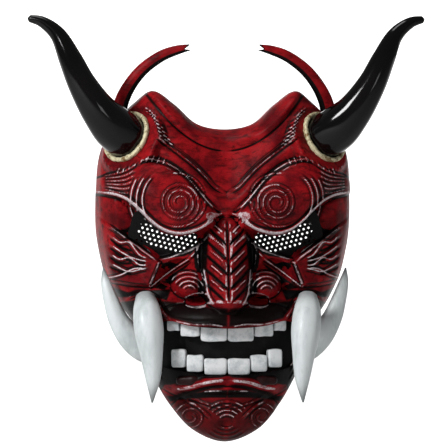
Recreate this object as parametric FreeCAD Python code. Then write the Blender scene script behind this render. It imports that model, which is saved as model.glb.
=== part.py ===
import FreeCAD, Part
import math
import os

from FreeCAD import Vector

# A horned demon mask that is worn over the face.
# Frame: +Z up, +X to the viewer's right, the face looks along -Y.
# The flat rim that rests round the wearer's face lies in the plane Y = 0,
# and the origin is on that plane, in the middle, at the height of the eye holes.
# Left is the -X side and right is the +X side. All sizes are in millimetres.

# --- Shell ---------------------------------------------------------------
WALL = 3.2                 # moulded wall
INNER_RIM_Y = 2.0          # the hollow's tool starts this far behind the rim

# Right half of the front outline, from the dip in the brow round to the chin: x, z
HALF_OUTLINE = [
    (0.0, 77.5), (20.0, 81.5), (36.0, 95.5), (51.0, 105.5), (63.0, 98.5), (78.0, 83.0),
    (89.0, 62.0), (92.0, 38.0), (92.0, 8.0), (88.5, -14.0), (84.0, -30.0), (76.0, -47.0),
    (66.0, -63.0), (58.0, -84.0), (50.0, -105.0), (39.0, -122.5), (23.0, -139.0), (0.0, -147.5),
]

# Depth in front of the rim, and how far the outline has drawn in there: sides, top, chin
DEPTH_SECTIONS = [
    (0.0, 1.00, 0.97, 0.88),
    (22.0, 1.00, 1.00, 0.95),
    (42.0, 0.95, 1.00, 1.00),
    (56.0, 0.84, 0.96, 0.99),
    (66.0, 0.68, 0.86, 0.90),
    (73.0, 0.48, 0.66, 0.70),
    (77.0, 0.25, 0.35, 0.38),
]

# Swellings of the face: centre, radii, tilt about Y in degrees. A pair is given on the right.
MUZZLE = (Vector(0, -62, -80), (58, 34, 40), 0)
UPPER_LIP = (Vector(0, -82, -54), (54, 20, 10), 0)
LOWER_LIP = (Vector(0, -82, -107), (46, 18, 9), 0)
CHIN = (Vector(0, -67, -123.5), (36, 27, 24), 0)
BROW = (Vector(42, -72, 24), (46, 30, 22), -14)
NOSTRIL = (Vector(24, -88, -33), (14, 17, 12), 0)
CHEEK = (Vector(62, -64, -18), (24, 22, 17), 16)

# Nose, as level ellipses: height, centre y, half width, half depth
NOSE_SECTIONS = [
    (24.0, -82.0, 7.0, 12.0),
    (6.0, -88.0, 11.0, 17.0),
    (-16.0, -92.0, 14.0, 24.0),
    (-36.0, -94.0, 17.0, 30.0),
    (-48.0, -90.0, 12.0, 24.0),
]

# Openings cut through the wall: x, z
MOUTH_HALF = [(0, -63), (25, -62), (45, -57.5), (53, -66), (54, -78), (48, -90), (25, -98), (0, -100)]
EYE_OUTLINE = [
    (20.0, -2.0), (31.0, -9.0), (46.0, -9.0), (58.0, -1.0), (66.0, 15.0), (52.0, 11.0),
    (36.0, 5.0), (24.0, 4.0),
]
NOSTRIL_HOLE_R = 4.5
NOSTRIL_HOLE = Vector(24, -92, -40)

# --- Horns ---------------------------------------------------------------
HORN_SEAT = Vector(70, -60, 71)
HORN_DIRECTION = Vector(0.62, -0.66, 0.42)
HORN_SEAT_R = 21.5
HORN_SEAT_DEPTH = 26.0
HORN_PATH = [
    (65.0, -54.7, 67.6), (70.0, -60.0, 71.0), (80.0, -70.0, 78.5), (91.5, -77.5, 91.0),
    (102.8, -81.0, 108.7), (111.0, -81.0, 126.0), (119.5, -79.0, 143.0), (130.5, -76.5, 152.5),
    (141.5, -74.5, 155.6),
]
HORN_RADII = [16.5, 16.5, 15.8, 12.8, 10.2, 8.4, 5.9, 4.1, 1.6]
COLLAR_WIDTH = 3.6
COLLAR_HEIGHT = 5.0
SCREW_R = 2.5
SCREW_CLEARANCE = 0.15
SCREW_DEPTH_IN_HORN = 14.0
SCREW_HEAD_R = 4.6
SCREW_HEAD_HEIGHT = 3.0
WASHER_R = 7.5
WASHER_HEIGHT = 1.4
SCREW_SEAT_DEPTH = 17.0    # from the horn's foot back to the washer, along the horn's axis

# --- Crest prongs --------------------------------------------------------
PRONG_PATH = [
    (75.5, -38.0, 84.0), (72.5, -38.5, 98.0), (66.0, -39.5, 110.5), (57.0, -41.0, 121.0),
    (45.0, -43.0, 129.5), (34.0, -44.5, 133.8), (24.5, -46.0, 136.0),
]
PRONG_RADII = [6.4, 6.1, 5.5, 5.1, 4.7, 4.0, 2.0]

# --- Tusks ---------------------------------------------------------------
FRONT_TUSK_PATH = [
    (58.0, -74.0, -42.0), (57.0, -82.0, -52.0), (55.5, -87.0, -66.0),
    (54.0, -90.0, -82.0), (53.0, -91.0, -100.0), (53.5, -90.0, -117.0),
]
FRONT_TUSK_RADII = [6.5, 9.6, 10.4, 8.2, 5.4, 0.9]
REAR_TUSK_PATH = [
    (52.0, -52.0, -84.0), (62.0, -53.0, -78.0), (72.0, -54.0, -69.0), (80.5, -54.0, -57.0),
    (87.0, -53.0, -42.0), (91.5, -51.0, -27.0), (94.0, -49.0, -13.0),
]
REAR_TUSK_RADII = [8.0, 8.8, 8.8, 7.2, 5.4, 3.4, 0.8]
FIT_GAP = 0.15             # round every piece that is let into the shell

# --- Teeth and mouth -----------------------------------------------------
ARCH_R = 110.0             # front of the teeth, seen from above
ARCH_CENTRE_Y = 24.0
TOOTH_DEPTH = 8.0
TOOTH_ROUND = 2.2
TOOTH_GAP = 0.7
UPPER_TEETH_X = [-43.5, -34.0, -19.5, 0.0, 19.5, 34.0, 43.5]
UPPER_TEETH_TIP_Z = [-66.5, -70.5, -74.0, -74.0, -70.5, -66.5]
UPPER_GUM_Z = -58.5
LOWER_TEETH_X = [-40.5, -29.5, -17.0, 0.0, 17.0, 29.5, 40.5]
LOWER_TEETH_TIP_Z = [-79.5, -83.5, -86.0, -86.0, -83.5, -79.5]
LOWER_GUM_Z = -98.0
GUM_HEIGHT = 8.0
GUM_DEPTH = 10.0
LINER_DEPTH = 1.5
LINER_OVERLAP = 3.5        # the liner reaches this far past the end teeth

# --- Eye meshes ----------------------------------------------------------
EYE_MESH_Y = -62.0
EYE_MESH_T = 1.2
EYE_MESH_CENTRE = (42.0, 2.0)
EYE_MESH_SIZE = (54.0, 26.0)
EYE_MESH_TILT = 15.0
EYE_HOLE_R = 0.8
EYE_HOLE_PITCH = 3.6

# --- Pads ----------------------------------------------------------------
PAD_GAP = 0.3
PAD_DEPTH = 9.0
PADS = {
    "forehead_pad": ((-46, 46), (-80, -46), (42, 66)),
    "cheek_pad_left": ((-86, -60), (-58, -22), (-46, -10)),
    "cheek_pad_right": ((60, 86), (-58, -22), (-46, -10)),
    "chin_pad": ((-24, 24), (-60, -26), (-142, -114)),
}

# --- Strap ---------------------------------------------------------------
STRAP_Z = 22.0
STRAP_HEIGHT = 25.0
STRAP_T = 1.4
STRAP_X = 78.0             # inner face of the strap's straight sides
STRAP_SIDE_Y = 52.0        # end of the straight side
STRAP_BEND_R = 56.0
BAR_Y = -22.0
BAR_R = 1.1
LAYER_GAP = 2.6            # between the strap and the end that comes back round the bar
SLIDING_END_Y = 62.0
SEWN_END_Y = 14.0
SEWN_LENGTH = 12.0
ANCHOR_X = 84.6            # inner face of the anchor's plate
ANCHOR_T = 2.4
ANCHOR_HALF_HEIGHT = 24.0
ANCHOR_Y = (-30.0, -14.0)
ANCHOR_ARM_T = 3.0
ANCHOR_ARM_GAP = 0.6
ANCHOR_PAD_X = 90.0        # the shell's flat pad ends inside the wall
SCREW_Z = 19.5             # anchor screws, from the strap's middle line
ANCHOR_SCREW_R = 1.5
ANCHOR_SCREW_LENGTH = 6.0
ANCHOR_HEAD_R = 2.9
ANCHOR_HEAD_T = 1.8
SLIDER_Y = 22.0
SLIDER_LENGTH = 14.0
SLIDER_WALL = 2.0
SLIDER_GAP = 0.35


# --- Shared shapes -------------------------------------------------------
def mirrored(shape):
    """The same shape on the other side of the mask."""
    return shape.mirror(Vector(0, 0, 0), Vector(1, 0, 0))


def closed_spline(points):
    """A smooth closed wire through the points."""
    curve = Part.BSplineCurve()
    curve.interpolate(Points=points, PeriodicFlag=True)
    return Part.Wire([curve.toShape()])


def full_outline(half):
    """A half outline with its other half, once round."""
    left = [(-x, z) for x, z in reversed(half[1:-1])]
    return list(half) + left


def ellipsoid(form, inset, side=1):
    """One swelling, smaller by the inset all round."""
    centre, radii, tilt = form
    ball = Part.makeSphere(1.0)
    size = FreeCAD.Matrix()
    size.scale(radii[0] - inset, radii[1] - inset, radii[2] - inset)
    ball = ball.transformGeometry(size)
    ball.rotate(Vector(0, 0, 0), Vector(0, 1, 0), tilt)
    ball.translate(centre)
    return ball if side > 0 else mirrored(ball)


def horn_shape(path, radii, extra=0.0):
    """A tapering solid with round sections along a smooth path."""
    curve = Part.BSplineCurve()
    points = [Vector(*point) for point in path]
    curve.interpolate(Points=points)
    wires = []
    for point, radius in zip(points, radii):
        along = curve.tangent(curve.parameter(point))[0]
        turn = FreeCAD.Rotation(Vector(0, 1, 0), Vector(), along, "ZXY")
        circle = Part.Wire([Part.Circle(Vector(), Vector(0, 0, 1), radius + extra).toShape()])
        circle.Placement = FreeCAD.Placement(point, turn)
        wires.append(circle)
    return Part.makeLoft(wires, True, False)


def along_horn(distance, radius, height):
    """A cylinder on the right horn's axis, starting at a distance from its foot."""
    axis = Vector(HORN_DIRECTION).normalize()
    start = HORN_SEAT + axis * distance
    return Part.makeCylinder(radius, height, start, axis)


def box(x_range, y_range, z_range):
    """A block between two corners."""
    size = [high - low for low, high in (x_range, y_range, z_range)]
    return Part.makeBox(*size, Vector(x_range[0], y_range[0], z_range[0]))


# --- Shell ---------------------------------------------------------------
def dome(inset, rim_y=0.0):
    """The face's rounded main body as a solid, from the rim forward."""
    wires = []
    for depth, side, top, chin in DEPTH_SECTIONS:
        y = rim_y if depth == 0.0 else inset - depth
        points = []
        for x, z in full_outline(HALF_OUTLINE):
            x, z = x * side, z * (top if z > 0 else chin)
            keep = 1.0 - inset / math.hypot(x, z)
            points.append(Vector(x * keep, y, z * keep))
        wires.append(closed_spline(points))
    return Part.makeLoft(wires, True, False)


def nose(inset):
    """The nose's ridge and tip."""
    wires = []
    last = len(NOSE_SECTIONS) - 1
    for index, (z, y, half_width, half_depth) in enumerate(NOSE_SECTIONS):
        level = z + inset if index == last else z - (inset if index == 0 else 0.0)
        ring = Part.Ellipse(Vector(), half_depth - inset, half_width - inset).toShape()
        wire = Part.Wire([ring])
        wire.rotate(Vector(), Vector(0, 0, 1), 90)
        wire.translate(Vector(0, y, level))
        wires.append(wire)
    return Part.makeLoft(wires, True, False)


def face_form(inset, rim_y=0.0):
    """The whole outer form of the face, drawn in by the inset."""
    form = dome(inset, rim_y)
    swellings = [ellipsoid(single, inset) for single in (MUZZLE, UPPER_LIP, LOWER_LIP, CHIN)]
    for pair in (BROW, NOSTRIL, CHEEK):
        swellings += [ellipsoid(pair, inset, 1), ellipsoid(pair, inset, -1)]
    return form.fuse(swellings + [nose(inset)])


def through_face(outline, back_y, front_y=-140.0):
    """A tool that cuts an outline straight through the front of the face."""
    wire = closed_spline([Vector(x, front_y, z) for x, z in outline])
    return Part.Face(wire).extrude(Vector(0, back_y - front_y, 0))


def seats_inside():
    """Room in the wall for the pieces that are let into it from inside."""
    plate = box((ANCHOR_X - 2, ANCHOR_X + ANCHOR_T), (ANCHOR_Y[0] - FIT_GAP, ANCHOR_Y[1] + FIT_GAP),
                (STRAP_Z - ANCHOR_HALF_HEIGHT - FIT_GAP, STRAP_Z + ANCHOR_HALF_HEIGHT + FIT_GAP))
    pairs = [plate, eye_plate(FIT_GAP)] + anchor_holes(ANCHOR_SCREW_R)
    tools = pairs + [mirrored(tool) for tool in pairs]
    tools.append(arch_band(ARCH_R + FIT_GAP, GUM_DEPTH + LINER_DEPTH + 2 * FIT_GAP,
                           LOWER_GUM_Z - GUM_HEIGHT - FIT_GAP, UPPER_GUM_Z + GUM_HEIGHT + FIT_GAP,
                           -UPPER_TEETH_X[0] + LINER_OVERLAP + FIT_GAP))
    return tools


def face_shell():
    """The moulded shell, open at the back, with its holes and seats."""
    outer = face_form(0.0)
    hollow = face_form(WALL, INNER_RIM_Y)
    seat = along_horn(-HORN_SEAT_DEPTH, HORN_SEAT_R, HORN_SEAT_DEPTH)
    shell = outer.fuse([seat, mirrored(seat)]).cut(hollow)
    pad = box((ANCHOR_X + ANCHOR_T, ANCHOR_PAD_X), ANCHOR_Y,
              (STRAP_Z - ANCHOR_HALF_HEIGHT, STRAP_Z + ANCHOR_HALF_HEIGHT))
    shell = shell.fuse([pad, mirrored(pad)])
    shell = shell.cut(seats_inside())
    mouth = through_face(full_outline(MOUTH_HALF), -60.0)
    eye = through_face(EYE_OUTLINE, -40.0)
    breath = Part.makeCylinder(NOSTRIL_HOLE_R, 30, NOSTRIL_HOLE, Vector(0, 0, 1))
    screw = along_horn(-HORN_SEAT_DEPTH - 30, SCREW_R + SCREW_CLEARANCE, HORN_SEAT_DEPTH + 40)
    recess = along_horn(-SCREW_SEAT_DEPTH - 40, WASHER_R + 0.6, 40)
    shell = shell.cut([mouth])
    for tool in (eye, breath, screw, recess):
        shell = shell.cut([tool, mirrored(tool)])
    for path, radii in (
        (PRONG_PATH, PRONG_RADII),
        (FRONT_TUSK_PATH, FRONT_TUSK_RADII),
        (REAR_TUSK_PATH, REAR_TUSK_RADII),
    ):
        root = horn_shape(path, radii, FIT_GAP)
        shell = shell.cut([root, mirrored(root)])
    return shell


# --- Horns and prongs ----------------------------------------------------
def horn():
    """A right horn: a flat foot on its seat and a tapped hole up its middle."""
    body = horn_shape(HORN_PATH, HORN_RADII)
    foot = along_horn(-40, 60, 40)
    hole = along_horn(-1, SCREW_R, SCREW_DEPTH_IN_HORN + 1)
    return body.cut(foot).cut(hole)


def horn_collar():
    """A right collar: a rounded ring on the seat, round the horn's foot."""
    ring = along_horn(0, HORN_RADII[0] + COLLAR_WIDTH, COLLAR_HEIGHT)
    rim = [edge for edge in ring.Edges if edge.isClosed()]
    ring = ring.makeFillet(COLLAR_HEIGHT * 0.35, rim)
    return ring.cut(horn_shape(HORN_PATH, HORN_RADII, FIT_GAP))


def horn_washer():
    """A plain washer under the right screw's head, inside the shell."""
    plate = along_horn(-SCREW_SEAT_DEPTH - WASHER_HEIGHT, WASHER_R, WASHER_HEIGHT)
    bore = along_horn(-SCREW_SEAT_DEPTH - 5, SCREW_R + SCREW_CLEARANCE, 10)
    return plate.cut(bore)


def horn_screw():
    """A right screw: from the washer through the seat into the horn."""
    under_head = SCREW_SEAT_DEPTH + WASHER_HEIGHT
    length = under_head + SCREW_DEPTH_IN_HORN - 1
    shank = along_horn(-under_head, SCREW_R, length)
    head = along_horn(-under_head - SCREW_HEAD_HEIGHT, SCREW_HEAD_R, SCREW_HEAD_HEIGHT)
    return shank.fuse(head).removeSplitter()


# --- Mouth ---------------------------------------------------------------
def arch_band(front_r, depth, z_low, z_high, half_width):
    """A bar that follows the arch of the teeth."""
    centre = Vector(0, ARCH_CENTRE_Y, z_low)
    height = z_high - z_low
    outside = Part.makeCylinder(front_r, height, centre)
    inside = Part.makeCylinder(front_r - depth, height, centre)
    window = box((-half_width, half_width), (-120, 0), (z_low, z_high))
    return outside.cut(inside).common(window)


def tooth(x_low, x_high, z_low, z_high):
    """One rounded tooth, square to the arch and narrower at its back."""
    front = (x_high - x_low - TOOTH_GAP) / 2
    back = front - TOOTH_DEPTH * (x_high - x_low) / 2 / ARCH_R
    back_y = TOOTH_DEPTH - ARCH_R
    corners = [(-front, -ARCH_R), (front, -ARCH_R), (back, back_y), (-back, back_y)]
    outline = Part.makePolygon([Vector(x, y, z_low) for x, y in corners + corners[:1]])
    block = Part.Face(outline).extrude(Vector(0, 0, z_high - z_low))
    upright = [edge for edge in block.Edges if abs(edge.Vertexes[0].Z - edge.Vertexes[1].Z) > 1]
    block = block.makeFillet(TOOTH_ROUND, upright)
    block.rotate(Vector(), Vector(0, 0, 1), math.degrees(math.asin((x_low + x_high) / 2 / ARCH_R)))
    block.translate(Vector(0, ARCH_CENTRE_Y, 0))
    return block


def add_teeth(nodes):
    """Six teeth above and six below, numbered from the left."""
    for index, tip in enumerate(UPPER_TEETH_TIP_Z):
        x_low, x_high = UPPER_TEETH_X[index:index + 2]
        nodes[f"upper_tooth_{index + 1}"] = tooth(x_low, x_high, tip, UPPER_GUM_Z)
    for index, tip in enumerate(LOWER_TEETH_TIP_Z):
        x_low, x_high = LOWER_TEETH_X[index:index + 2]
        nodes[f"lower_tooth_{index + 1}"] = tooth(x_low, x_high, LOWER_GUM_Z, tip)


def add_mouth(nodes):
    """The gums and the black liner behind the teeth."""
    nodes["upper_gum"] = arch_band(
        ARCH_R, GUM_DEPTH, UPPER_GUM_Z, UPPER_GUM_Z + GUM_HEIGHT, -UPPER_TEETH_X[0])
    nodes["lower_gum"] = arch_band(
        ARCH_R, GUM_DEPTH, LOWER_GUM_Z - GUM_HEIGHT, LOWER_GUM_Z, -LOWER_TEETH_X[0])
    nodes["mouth_liner"] = arch_band(
        ARCH_R - GUM_DEPTH, LINER_DEPTH, LOWER_GUM_Z - GUM_HEIGHT, UPPER_GUM_Z + GUM_HEIGHT,
        -UPPER_TEETH_X[0] + LINER_OVERLAP)


# --- Eyes ----------------------------------------------------------------
def place_at_eye(plate):
    """Tilt a plate made about the origin and move it behind the right eye."""
    plate.rotate(Vector(), Vector(0, 1, 0), -EYE_MESH_TILT)
    plate.translate(Vector(EYE_MESH_CENTRE[0], EYE_MESH_Y, EYE_MESH_CENTRE[1]))
    return plate


def eye_blank(gap):
    """The eye plate before its holes, larger by the gap all round."""
    width, height = (size + 2 * gap for size in EYE_MESH_SIZE)
    plate = box((-width / 2, width / 2), (-gap, EYE_MESH_T + gap), (-height / 2, height / 2))
    corners = [edge for edge in plate.Edges if abs(edge.Vertexes[0].Y - edge.Vertexes[1].Y) > 1]
    return plate.makeFillet(height * 0.3, corners)


def eye_plate(gap):
    """Room for the right eye plate."""
    return place_at_eye(eye_blank(gap))


def eye_mesh():
    """The right eye's plate, with staggered holes to see through."""
    width, height = EYE_MESH_SIZE
    plate = eye_blank(0.0)
    holes = []
    columns = int(width / EYE_HOLE_PITCH / 2) - 1
    rows = int(height / EYE_HOLE_PITCH / 0.866 / 2) - 1
    for row in range(-rows, rows + 1):
        shift = EYE_HOLE_PITCH / 2 * (row % 2)
        for column in range(-columns, columns):
            place = Vector(column * EYE_HOLE_PITCH + shift, -1, row * EYE_HOLE_PITCH * 0.866)
            holes.append(Part.makeCylinder(EYE_HOLE_R, EYE_MESH_T + 2, place, Vector(0, 1, 0)))
    return place_at_eye(plate.cut(Part.makeCompound(holes)))


# --- Pads ----------------------------------------------------------------
def add_pads(nodes):
    """Foam pads that follow the inside of the shell."""
    outside = dome(WALL + PAD_GAP, INNER_RIM_Y)
    inside = dome(WALL + PAD_GAP + PAD_DEPTH, INNER_RIM_Y + PAD_DEPTH)
    lining = outside.cut(inside)
    for name, ranges in PADS.items():
        nodes[name] = lining.common(box(*ranges))


# --- Strap ---------------------------------------------------------------
def layer(x_inner, y_range):
    """One straight run of webbing on the right side."""
    half = STRAP_HEIGHT / 2
    return box((x_inner, x_inner + STRAP_T), y_range, (STRAP_Z - half, STRAP_Z + half))


def upright(x, y, radius, z_half):
    """A round bar along Z, centred on the strap's middle line."""
    return Part.makeCylinder(radius, 2 * z_half, Vector(x, y, STRAP_Z - z_half))


def bar_x():
    """The anchor's bar stands midway between the two layers."""
    return STRAP_X + STRAP_T + LAYER_GAP / 2


def turn_round_bar():
    """The webbing's half turn round the anchor's bar."""
    inner = LAYER_GAP / 2
    half = STRAP_HEIGHT / 2
    ring = upright(bar_x(), BAR_Y, inner + STRAP_T, half).cut(upright(bar_x(), BAR_Y, inner, half))
    return ring.common(box((0, 100), (BAR_Y - 10, BAR_Y), (-100, 100)))


def strap_back():
    """The part behind the head: a half ring drawn out by a straight run."""
    half = STRAP_HEIGHT / 2
    bend_x = STRAP_X + STRAP_T - STRAP_BEND_R
    outer = upright(bend_x, STRAP_SIDE_Y, STRAP_BEND_R, half)
    inner = upright(bend_x, STRAP_SIDE_Y, STRAP_BEND_R - STRAP_T, half)
    corner = outer.cut(inner).common(box((bend_x, 100), (STRAP_SIDE_Y, 200), (-100, 100)))
    back_y = STRAP_SIDE_Y + STRAP_BEND_R
    run = box((-bend_x, bend_x), (back_y - STRAP_T, back_y), (STRAP_Z - half, STRAP_Z + half))
    return [corner, mirrored(corner), run]


def head_strap():
    """One length of webbing: sewn round the left bar, and free to slide round the right one."""
    inside = layer(STRAP_X, (BAR_Y, STRAP_SIDE_Y))
    turn = turn_round_bar()
    outside_x = STRAP_X + STRAP_T + LAYER_GAP
    sliding_end = layer(outside_x, (BAR_Y, SLIDING_END_Y))
    sewn_end = layer(outside_x, (BAR_Y, SEWN_END_Y))
    half = STRAP_HEIGHT / 2
    hem = box((STRAP_X, outside_x), (SEWN_END_Y - SEWN_LENGTH, SEWN_END_Y),
              (STRAP_Z - half, STRAP_Z + half))
    left = [mirrored(piece) for piece in (inside, turn, sewn_end, hem)]
    return inside.fuse([turn, sliding_end] + left + strap_back()).removeSplitter()


def strap_slider():
    """The adjuster: a frame round both layers with a bar between them."""
    outside_x = STRAP_X + STRAP_T + LAYER_GAP
    z_half = STRAP_HEIGHT / 2 + SLIDER_GAP
    y_range = (SLIDER_Y - SLIDER_LENGTH / 2, SLIDER_Y + SLIDER_LENGTH / 2)
    frame = box((STRAP_X - SLIDER_GAP - SLIDER_WALL, outside_x + STRAP_T + SLIDER_GAP + SLIDER_WALL),
                y_range, (STRAP_Z - z_half - SLIDER_WALL, STRAP_Z + z_half + SLIDER_WALL))
    slots = [
        box((x - SLIDER_GAP, x + STRAP_T + SLIDER_GAP), (y_range[0] - 1, y_range[1] + 1),
            (STRAP_Z - z_half, STRAP_Z + z_half))
        for x in (STRAP_X, outside_x)
    ]
    return frame.cut(slots)


def anchor_screw_places():
    """The right anchor's two screws, on the plate's inner face."""
    middle_y = sum(ANCHOR_Y) / 2
    return [Vector(ANCHOR_X, middle_y, STRAP_Z + side * SCREW_Z) for side in (-1, 1)]


def anchor_holes(radius):
    """Bores for the right anchor's screws, through the plate and into the pad."""
    depth = ANCHOR_SCREW_LENGTH - ANCHOR_HEAD_T + 2
    return [Part.makeCylinder(radius, depth, place - Vector(1, 0, 0), Vector(1, 0, 0))
            for place in anchor_screw_places()]


def strap_anchor():
    """The right anchor: a plate on the wall's pad, two arms and the bar between them."""
    plate = box((ANCHOR_X, ANCHOR_X + ANCHOR_T), ANCHOR_Y,
                (STRAP_Z - ANCHOR_HALF_HEIGHT, STRAP_Z + ANCHOR_HALF_HEIGHT))
    low = STRAP_HEIGHT / 2 + ANCHOR_ARM_GAP
    arms = []
    for side in (-1, 1):
        z_range = sorted((STRAP_Z + side * low, STRAP_Z + side * (low + ANCHOR_ARM_T)))
        arms.append(box((bar_x() - 2.5, ANCHOR_X), (BAR_Y - 2.5, BAR_Y + 2.5), z_range))
    bar = upright(bar_x(), BAR_Y, BAR_R, low)
    holes = anchor_holes(ANCHOR_SCREW_R)
    return plate.fuse(arms + [bar]).cut(holes).removeSplitter()


def anchor_screws():
    """Both anchors' four pan-head screws."""
    screws = []
    for place in anchor_screw_places():
        head = Part.makeCylinder(ANCHOR_HEAD_R, ANCHOR_HEAD_T, place - Vector(ANCHOR_HEAD_T, 0, 0),
                                 Vector(1, 0, 0))
        shank = Part.makeCylinder(ANCHOR_SCREW_R, ANCHOR_SCREW_LENGTH - ANCHOR_HEAD_T, place,
                                  Vector(1, 0, 0))
        screw = head.fuse(shank).removeSplitter()
        screws += [screw, mirrored(screw)]
    return Part.makeCompound(screws)


NODES = {}
NODES["face_shell"] = face_shell()
for name, make in (
    ("horn", horn),
    ("horn_collar", horn_collar),
    ("eye_mesh", eye_mesh),
    ("strap_anchor", strap_anchor),
):
    right = make()
    NODES[name + "_right"] = right
    NODES[name + "_left"] = mirrored(right)
for name, path, radii in (
    ("crest_prong", PRONG_PATH, PRONG_RADII),
    ("front_tusk", FRONT_TUSK_PATH, FRONT_TUSK_RADII),
    ("rear_tusk", REAR_TUSK_PATH, REAR_TUSK_RADII),
):
    right = horn_shape(path, radii)
    NODES[name + "_right"] = right
    NODES[name + "_left"] = mirrored(right)
for name, make in (("horn_washers", horn_washer), ("horn_screws", horn_screw)):
    right = make()
    NODES[name] = Part.makeCompound([right, mirrored(right)])
add_mouth(NODES)
add_teeth(NODES)
add_pads(NODES)
NODES["head_strap"] = head_strap()
NODES["strap_slider"] = strap_slider()
NODES["anchor_screws"] = anchor_screws()

os.makedirs("parts", exist_ok=True)
for name, shape in NODES.items():
    print(name, shape.ShapeType, len(shape.Solids), round(shape.Volume / 1000, 2), shape.isValid())
    shape.exportStep(f"parts/{name}.step")
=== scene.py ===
"""A horned demon mask: lacquered shell, black horns, tusks, teeth, eye meshes, pads and strap.

Shapes are in millimetres, in the frame of the part: +Z up, +X to the viewer's right, and the
face looks along -Y. new_mesh turns them into metres. The camera and the lights are in metres.
"""

import math

import bpy
import numpy as np
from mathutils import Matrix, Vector


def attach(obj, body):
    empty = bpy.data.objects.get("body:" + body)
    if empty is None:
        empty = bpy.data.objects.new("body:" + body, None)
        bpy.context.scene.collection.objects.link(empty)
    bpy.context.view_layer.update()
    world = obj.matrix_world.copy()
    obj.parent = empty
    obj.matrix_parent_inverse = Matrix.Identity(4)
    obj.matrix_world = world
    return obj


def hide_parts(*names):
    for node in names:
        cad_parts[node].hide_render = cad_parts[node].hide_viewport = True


MM = 0.001

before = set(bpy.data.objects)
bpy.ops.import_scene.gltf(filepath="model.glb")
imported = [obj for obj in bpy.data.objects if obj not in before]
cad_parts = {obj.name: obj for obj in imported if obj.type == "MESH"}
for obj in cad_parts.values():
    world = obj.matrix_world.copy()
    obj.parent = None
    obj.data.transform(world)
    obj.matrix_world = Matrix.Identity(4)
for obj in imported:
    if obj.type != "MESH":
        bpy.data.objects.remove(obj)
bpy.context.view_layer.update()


# --- Small helpers ---------------------------------------------------------
def smooth(low, high, value):
    """0 below low, 1 above high, and a smooth step between."""
    t = np.clip((value - low) / (high - low), 0.0, 1.0)
    return t * t * (3.0 - 2.0 * t)


def spline(points, per_span=12, closed=False):
    """A smooth line through the points (Catmull-Rom), as an array."""
    p = np.array(points, dtype=float)
    if closed:
        p = np.vstack([p[-1], p, p[0], p[1]])
    else:
        p = np.vstack([2 * p[0] - p[1], p, 2 * p[-1] - p[-2]])
    t = np.linspace(0.0, 1.0, per_span, endpoint=False)[:, None]
    out = []
    for a, b, c, d in zip(p[:-3], p[1:-2], p[2:-1], p[3:]):
        out.append(0.5 * (2 * b + (c - a) * t + (2 * a - 5 * b + 4 * c - d) * t ** 2
                          + (3 * b - a - 3 * c + d) * t ** 3))
    if not closed:
        out.append(p[-2][None, :])
    return np.vstack(out)


def height_line(points):
    """A function z(x) that follows a smooth line through the points."""
    line = spline(points, 16)
    return lambda x: np.interp(x, line[:, 0], line[:, 1])


def distance_to(x, z, line, reach):
    """Distance of each place to a line, and how far along it (0 to 1). Beyond reach it is 1e3."""
    far = np.full(x.shape, 1e3)
    along = np.zeros(x.shape)
    low, high = line.min(axis=0) - reach, line.max(axis=0) + reach
    near = np.nonzero((x > low[0]) & (x < high[0]) & (z > low[1]) & (z < high[1]))[0]
    if not len(near):
        return far, along
    seg = line[1:] - line[:-1]
    seg2 = np.maximum((seg ** 2).sum(axis=1), 1e-12)
    best = np.full(len(near), 1e3)
    where = np.zeros(len(near))
    for k in range(len(seg)):
        dx = x[near] - line[k, 0]
        dz = z[near] - line[k, 1]
        t = np.clip((dx * seg[k, 0] + dz * seg[k, 1]) / seg2[k], 0.0, 1.0)
        d = np.hypot(dx - t * seg[k, 0], dz - t * seg[k, 1])
        closer = d < best
        best[closer] = d[closer]
        where[closer] = (k + t[closer]) / len(seg)
    far[near] = best
    along[near] = where
    return far, along


def inside(x, z, loop):
    """Which places lie inside a closed loop."""
    result = np.zeros(x.shape, dtype=bool)
    nxt = np.roll(loop, -1, axis=0)
    for (x1, z1), (x2, z2) in zip(loop, nxt):
        cross = (z1 > z) != (z2 > z)
        if z1 == z2:
            continue
        hit = x < (x2 - x1) * (z - z1) / (z2 - z1) + x1
        result ^= cross & hit
    return result


def mirror_loop(half):
    """A closed loop from its right half, given from top to bottom."""
    left = [(-x, z) for x, z in reversed(half) if x > 0]
    return spline(list(half) + left, 14, closed=True)


# --- The face's main form --------------------------------------------------
WALL = 3.2
CENTRE_Z = -20.0
COLUMNS = 360
ROWS = 460
INNER_STEP = 4

# Right half of the front outline, from the dip in the brow round to the chin: x, z
HALF_OUTLINE = [
    (0.0, 77.5), (20.0, 81.5), (36.0, 95.5), (51.0, 105.5), (63.0, 98.5), (78.0, 83.0),
    (89.0, 62.0), (92.0, 38.0), (92.0, 8.0), (88.5, -14.0), (84.0, -30.0), (76.0, -47.0),
    (66.0, -63.0), (58.0, -84.0), (50.0, -105.0), (39.0, -122.5), (23.0, -139.0), (0.0, -147.5),
]
# From the middle of the face out to the rim: how far out, depth, and how far the outline
# has spread there at the sides, the top and the chin
SECTIONS = np.array([
    (0.00, 77.0, 0.00, 0.00, 0.00),
    (0.15, 76.2, 0.20, 0.24, 0.22),
    (0.30, 74.0, 0.38, 0.46, 0.44),
    (0.45, 70.0, 0.56, 0.66, 0.66),
    (0.60, 64.0, 0.73, 0.83, 0.86),
    (0.72, 55.0, 0.86, 0.95, 0.98),
    (0.80, 43.0, 0.95, 1.00, 1.00),
    (0.90, 22.0, 1.00, 1.00, 0.95),
    (1.00, 0.0, 1.00, 0.97, 0.88),
])
HORN_SEAT = np.array([70.0, -60.0, 71.0])
HORN_AXIS = np.array([0.62, -0.66, 0.42])
HORN_AXIS /= np.linalg.norm(HORN_AXIS)
SEAT_R = 21.5

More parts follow.
